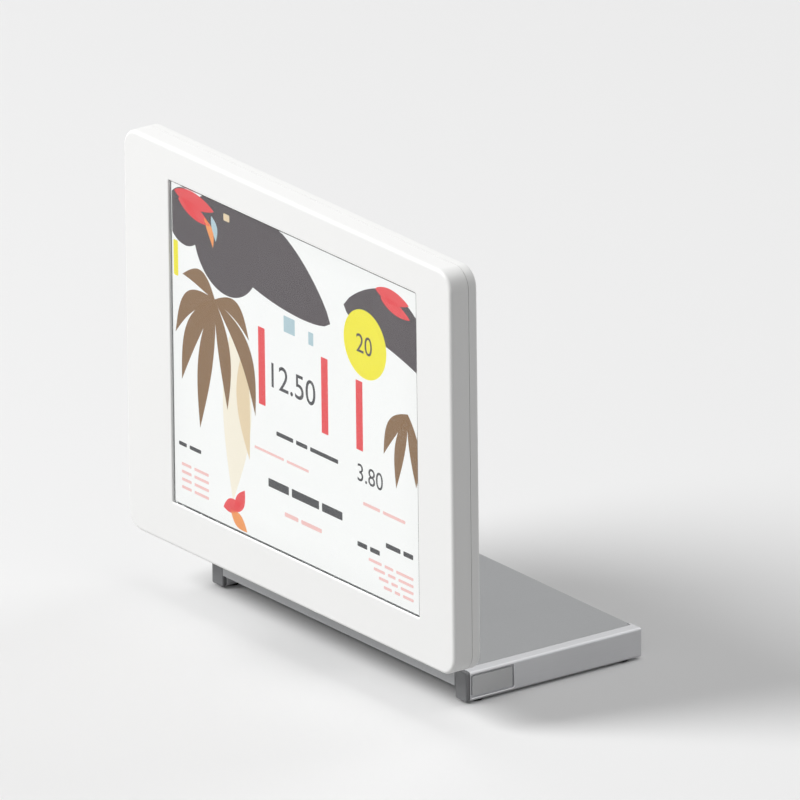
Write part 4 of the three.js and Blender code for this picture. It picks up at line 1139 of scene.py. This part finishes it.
def stand_plate():
    """The folded top of the stand, with a lip turned down at the front and the rear."""
    low, high = plate_low, plate_high
    sheet, bend, inner = PLATE_SHEET, PLATE_BEND, PLATE_INNER_BEND
    front, rear = low.y, high.y
    profile = [(front, low.z), (front + sheet, low.z)]
    profile += arc(inner, (front + sheet + inner, high.z - sheet - inner), 180, 90, 6)
    profile += arc(inner, (rear - sheet - inner, high.z - sheet - inner), 90, 0, 6)
    profile += [(rear - sheet, low.z), (rear, low.z)]
    profile += arc(bend, (rear - bend, high.z - bend), 0, 90, 8)
    profile += arc(bend, (front + bend, high.z - bend), 90, 180, 8)
    edge = high.x - RAIL_SEAT
    obj = as_object("stand_plate_folded", prism("x", profile, -edge, edge))
    top = rounded(2 * high.x, rear - front - 2 * sheet, 0.4, (0, (front + rear) / 2), 3)
    combine(obj, prism("z", top, high.z - sheet, high.z), "UNION")
    ease(obj, 0.3)
    finished(obj, COAT, "stand", "powder_coat", "stand_plate")


def ballast_bar():
    """The heavy bar under the neck, drilled for the neck screws."""
    low, high = node_box("ballast_bar")
    size, centre = outline_of("ballast_bar", "z")
    obj = as_object("ballast_bar_cast", block("z", inset_of(*size, 3, centre), low.z, high.z, 0.8))
    holes = []
    for i in range(1, 5):
        at = middle_of(f"neck_screw_{i}")
        holes.append(bore("z", (at.x, at.y), SCREW_BORE, low.z - 1, high.z + 1, PIN_ROUND))
    combine(obj, joined(*holes), "DIFFERENCE")
    finished(obj, DARK_COAT, "stand", "dark_coat", "ballast_bar")


def rail(side_name, side):
    """A closed bar with a seat for the plate, a pocket for the inlay and wells for the feet."""
    name = f"side_rail_{side_name}"
    low, high = node_box(name)
    size, centre = outline_of(name, "y")
    outline = inset_of(*size, RAIL_CORNER, centre, steps=6)
    obj = as_object(f"{name}_extruded", block("y", outline, low.y, high.y, 0.8, 0.2))
    inner_x, outer_x = (low.x, high.x) if side > 0 else (high.x, low.x)
    under = plate_high.z - PLATE_SHEET - FIT
    seat = rounded(RAIL_SEAT + 2, 8, 0.1, (inner_x + side * 0.5, under + 4), 2)
    rear_wall = 2.5
    combine(obj, prism("y", seat, low.y - 3, high.y - rear_wall + FIT), "DIFFERENCE")
    inlay_size, inlay_centre = outline_of(f"rail_inlay_{side_name}", "x")
    margin, depth = 1, 1.5
    pocket = inset_of(
        inlay_size[0] + 2 * margin, inlay_size[1] + 2 * margin, 1.2, inlay_centre, steps=5
    )
    cutter = chamfered_hole("x", pocket, outer_x - side * depth, outer_x, side, 0.3)
    combine(obj, cutter, "DIFFERENCE")
    wells = []
    foot_r, well_depth = 4, 1.5
    for place in ("front", "rear"):
        at = middle_of(f"rubber_foot_{place}_{side_name}")
        ends = (low.z - 1, low.z + well_depth)
        wells.append(bore("z", (at.x, at.y), foot_r + FIT, *ends, SCREW_ROUND))
    combine(obj, joined(*wells), "DIFFERENCE")
    finished(obj, RAIL, "stand", "plain_aluminium", name)


def rail_inlay(name, side):
    """The flat panel in a rail's outer side."""
    low, high = node_box(name)
    size, centre = outline_of(name, "x")
    outline = inset_of(*size, 0.8, centre, steps=5)
    outer, inner = (high.x, low.x) if side > 0 else (low.x, high.x)
    rings = [(outline(0), inner)] + quarter(outline, outer, 0.35, side, 4)
    obj = as_object(f"{name}_moulded", solid("x", rings))
    finished(obj, INLAY, "stand", "grey_plastic", name)


def end_cap(name):
    """The cap on a rail's front end, dark grey: partly its own dark plastic, partly painted shade
    from under the screen.
    """
    low, high = node_box(name)
    size, centre = outline_of(name, "y")
    outline = inset_of(*size, RAIL_CORNER, centre, steps=6)
    obj = as_object(f"{name}_moulded", block("y", outline, low.y, high.y, 0.6, 0.9))
    finished(obj, DARK_WITH_PAINTED_SHADE, "stand", "dark_plastic", name)


def rubber_foot(name):
    """A round foot with a shallow hollow in its sole."""
    low, high = node_box(name)
    at = middle_of(name)
    r = (high.x - low.x) / 2
    hollow = low.z + 0.15
    profile = [(0, hollow), (r - 1.4, hollow), (r - 1.1, low.z), (r - 0.3, low.z)]
    profile += [(r, low.z + 0.3), (r, high.z - 0.2), (r - 0.2, high.z), (0, high.z)]
    obj = as_object(f"{name}_moulded", turned("z", (at.x, at.y), profile, SCREW_ROUND))
    finished(obj, RUBBER, "stand", "black_rubber", name)


# ---- Making the display ----

front_bezel()
rear_cover()
cover_lens()
lens_print()
lit_panel()
picture()
for name in KEYS:
    key(name)
for name in SOCKETS:
    socket(name)
for i in range(1, 5):
    screw(f"housing_screw_{i}", "y", "head", diameter=3, head_d=5.6, head_h=1.8)
    screw(f"bracket_screw_{i}", "y", "head", diameter=4, head_d=8, head_h=2.4)
    screw(f"neck_screw_{i}", "z", "stand", diameter=4, head_d=7.6, head_h=2.2)
head_bracket()
spacer_tube()
stop_pin()
for side_name, side in SIDES:
    hinge_cap(f"hinge_cap_{side_name}", side)
neck_bracket()
neck_cover()
foot_cover()
stand_plate()
ballast_bar()
for side_name, side in SIDES:
    rail(side_name, side)
    rail_inlay(f"rail_inlay_{side_name}", side)
    end_cap(f"end_cap_{side_name}")
    rubber_foot(f"rubber_foot_front_{side_name}")
    rubber_foot(f"rubber_foot_rear_{side_name}")


# ---- Studio ----

VIEW_AZIMUTH, VIEW_ELEVATION, VIEW_ROLL = 54.4, 20.0, 0.65
VIEW_DISTANCE, LENS, SENSOR = 17.7, 1500, 36
SOFT_LIGHT = 0.33  # the strength of the light from all round
FLOOR_COLOUR, FLOOR_UNSEEN = 0.86, 0.42  # its grey where it is seen, and for light it throws back
FLOOR_FADE = (900, 3000)  # how far from the middle it starts to fade and has gone


def camera():
    """A long lens from the front right, a little above the display."""
    low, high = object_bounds()
    azimuth, elevation, roll = map(math.radians, (VIEW_AZIMUTH, VIEW_ELEVATION, VIEW_ROLL))
    flat = math.cos(elevation)
    back = Vector((math.sin(azimuth) * flat, -math.cos(azimuth) * flat, math.sin(elevation)))
    level = Vector((math.cos(azimuth), math.sin(azimuth), 0))
    upright = back.cross(level)
    right = level * math.cos(roll) - upright * math.sin(roll)
    up = upright * math.cos(roll) + level * math.sin(roll)
    corners = [
        Vector((x, y, z)) for x in (low.x, high.x) for y in (low.y, high.y) for z in (low.z, high.z)
    ]
    across = [c.dot(right) for c in corners]
    rise = [c.dot(up) for c in corners]
    aim = right * (min(across) + max(across)) / 2 + up * (min(rise) + max(rise)) / 2
    data = bpy.data.cameras.new("camera")
    data.lens, data.sensor_width, data.clip_end = LENS, SENSOR, 60
    obj = bpy.data.objects.new("camera", data)
    bpy.context.scene.collection.objects.link(obj)
    turn = Matrix((right, up, back)).transposed()
    obj.matrix_world = Matrix.Translation(aim + back * VIEW_DISTANCE) @ turn.to_4x4()
    bpy.context.scene.camera = obj


def lamp(name, place, target, size, power):
    """A round lamp that faces its target, in metres and watts."""
    data = bpy.data.lights.new(name, "AREA")
    data.shape, data.size, data.energy = "DISK", size, power
    obj = bpy.data.objects.new(name, data)
    obj.location = place
    obj.rotation_euler = (Vector(target) - Vector(place)).to_track_quat("-Z", "Y").to_euler()
    obj.visible_camera = False
    bpy.context.scene.collection.objects.link(obj)


def seen_directly(shading):
    """1 for rays that see the surroundings directly, or through or off something clear or shiny."""
    camera_ray, glossy, through = (
        shading.node("ShaderNodeLightPath", output=f"Is {kind} Ray")
        for kind in ("Camera", "Glossy", "Transmission")
    )
    return camera_ray.most(glossy).most(through)


def floor():
    """A pale floor that fades into the surroundings far away and lets rays up from below."""
    bm = bmesh.new()
    bmesh.ops.create_grid(bm, x_segments=1, y_segments=1, size=9)
    obj = as_object("floor", bm)
    obj.location.z = cad_low.z - 0.0002
    f = Finish("floor", (FLOOR_COLOUR,) * 3, 0.9)
    direct = seen_directly(f)
    f.set(Base_Color=f.mix(direct, (*(FLOOR_UNSEEN,) * 3, 1), f.rgb))
    away = f.node("ShaderNodeVectorMath", {"operation": "LENGTH"}, (f.place(),), "Value")
    below = f.node("ShaderNodeNewGeometry", output="Backfacing")
    unseen = below.most(f.between(*FLOOR_FADE, away) * direct)
    f.show("Material Output", unseen, f.surface, f.node("ShaderNodeBsdfTransparent"))
    obj.data.materials.append(f.material)
    obj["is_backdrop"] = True


def world():
    """Plain soft light from all round, white where it is seen directly."""
    surroundings = bpy.data.worlds.new("studio")
    surroundings.use_nodes = True
    bpy.context.scene.world = surroundings
    f = Shading(surroundings.node_tree)
    white = (1, 1, 1, 1)
    soft = f.node("ShaderNodeBackground", inputs={"Color": white, "Strength": SOFT_LIGHT})
    bright = f.node("ShaderNodeBackground", inputs={"Color": white, "Strength": 1.0})
    f.show("World Output", seen_directly(f), soft, bright)


camera()
lamp("key_lamp", (-2.2, -4.4, 4.2), target=(0, 0, 0.12), size=3, power=340)
lamp("top_lamp", (0.1, 0.5, 2.6), target=(0, 0, 0.1), size=1.8, power=5)
lamp("back_lamp", (0, 3.6, 2.4), target=(0, 0, 0.1), size=3, power=34)
floor()
world()
bpy.context.scene.view_settings.view_transform = "Standard"
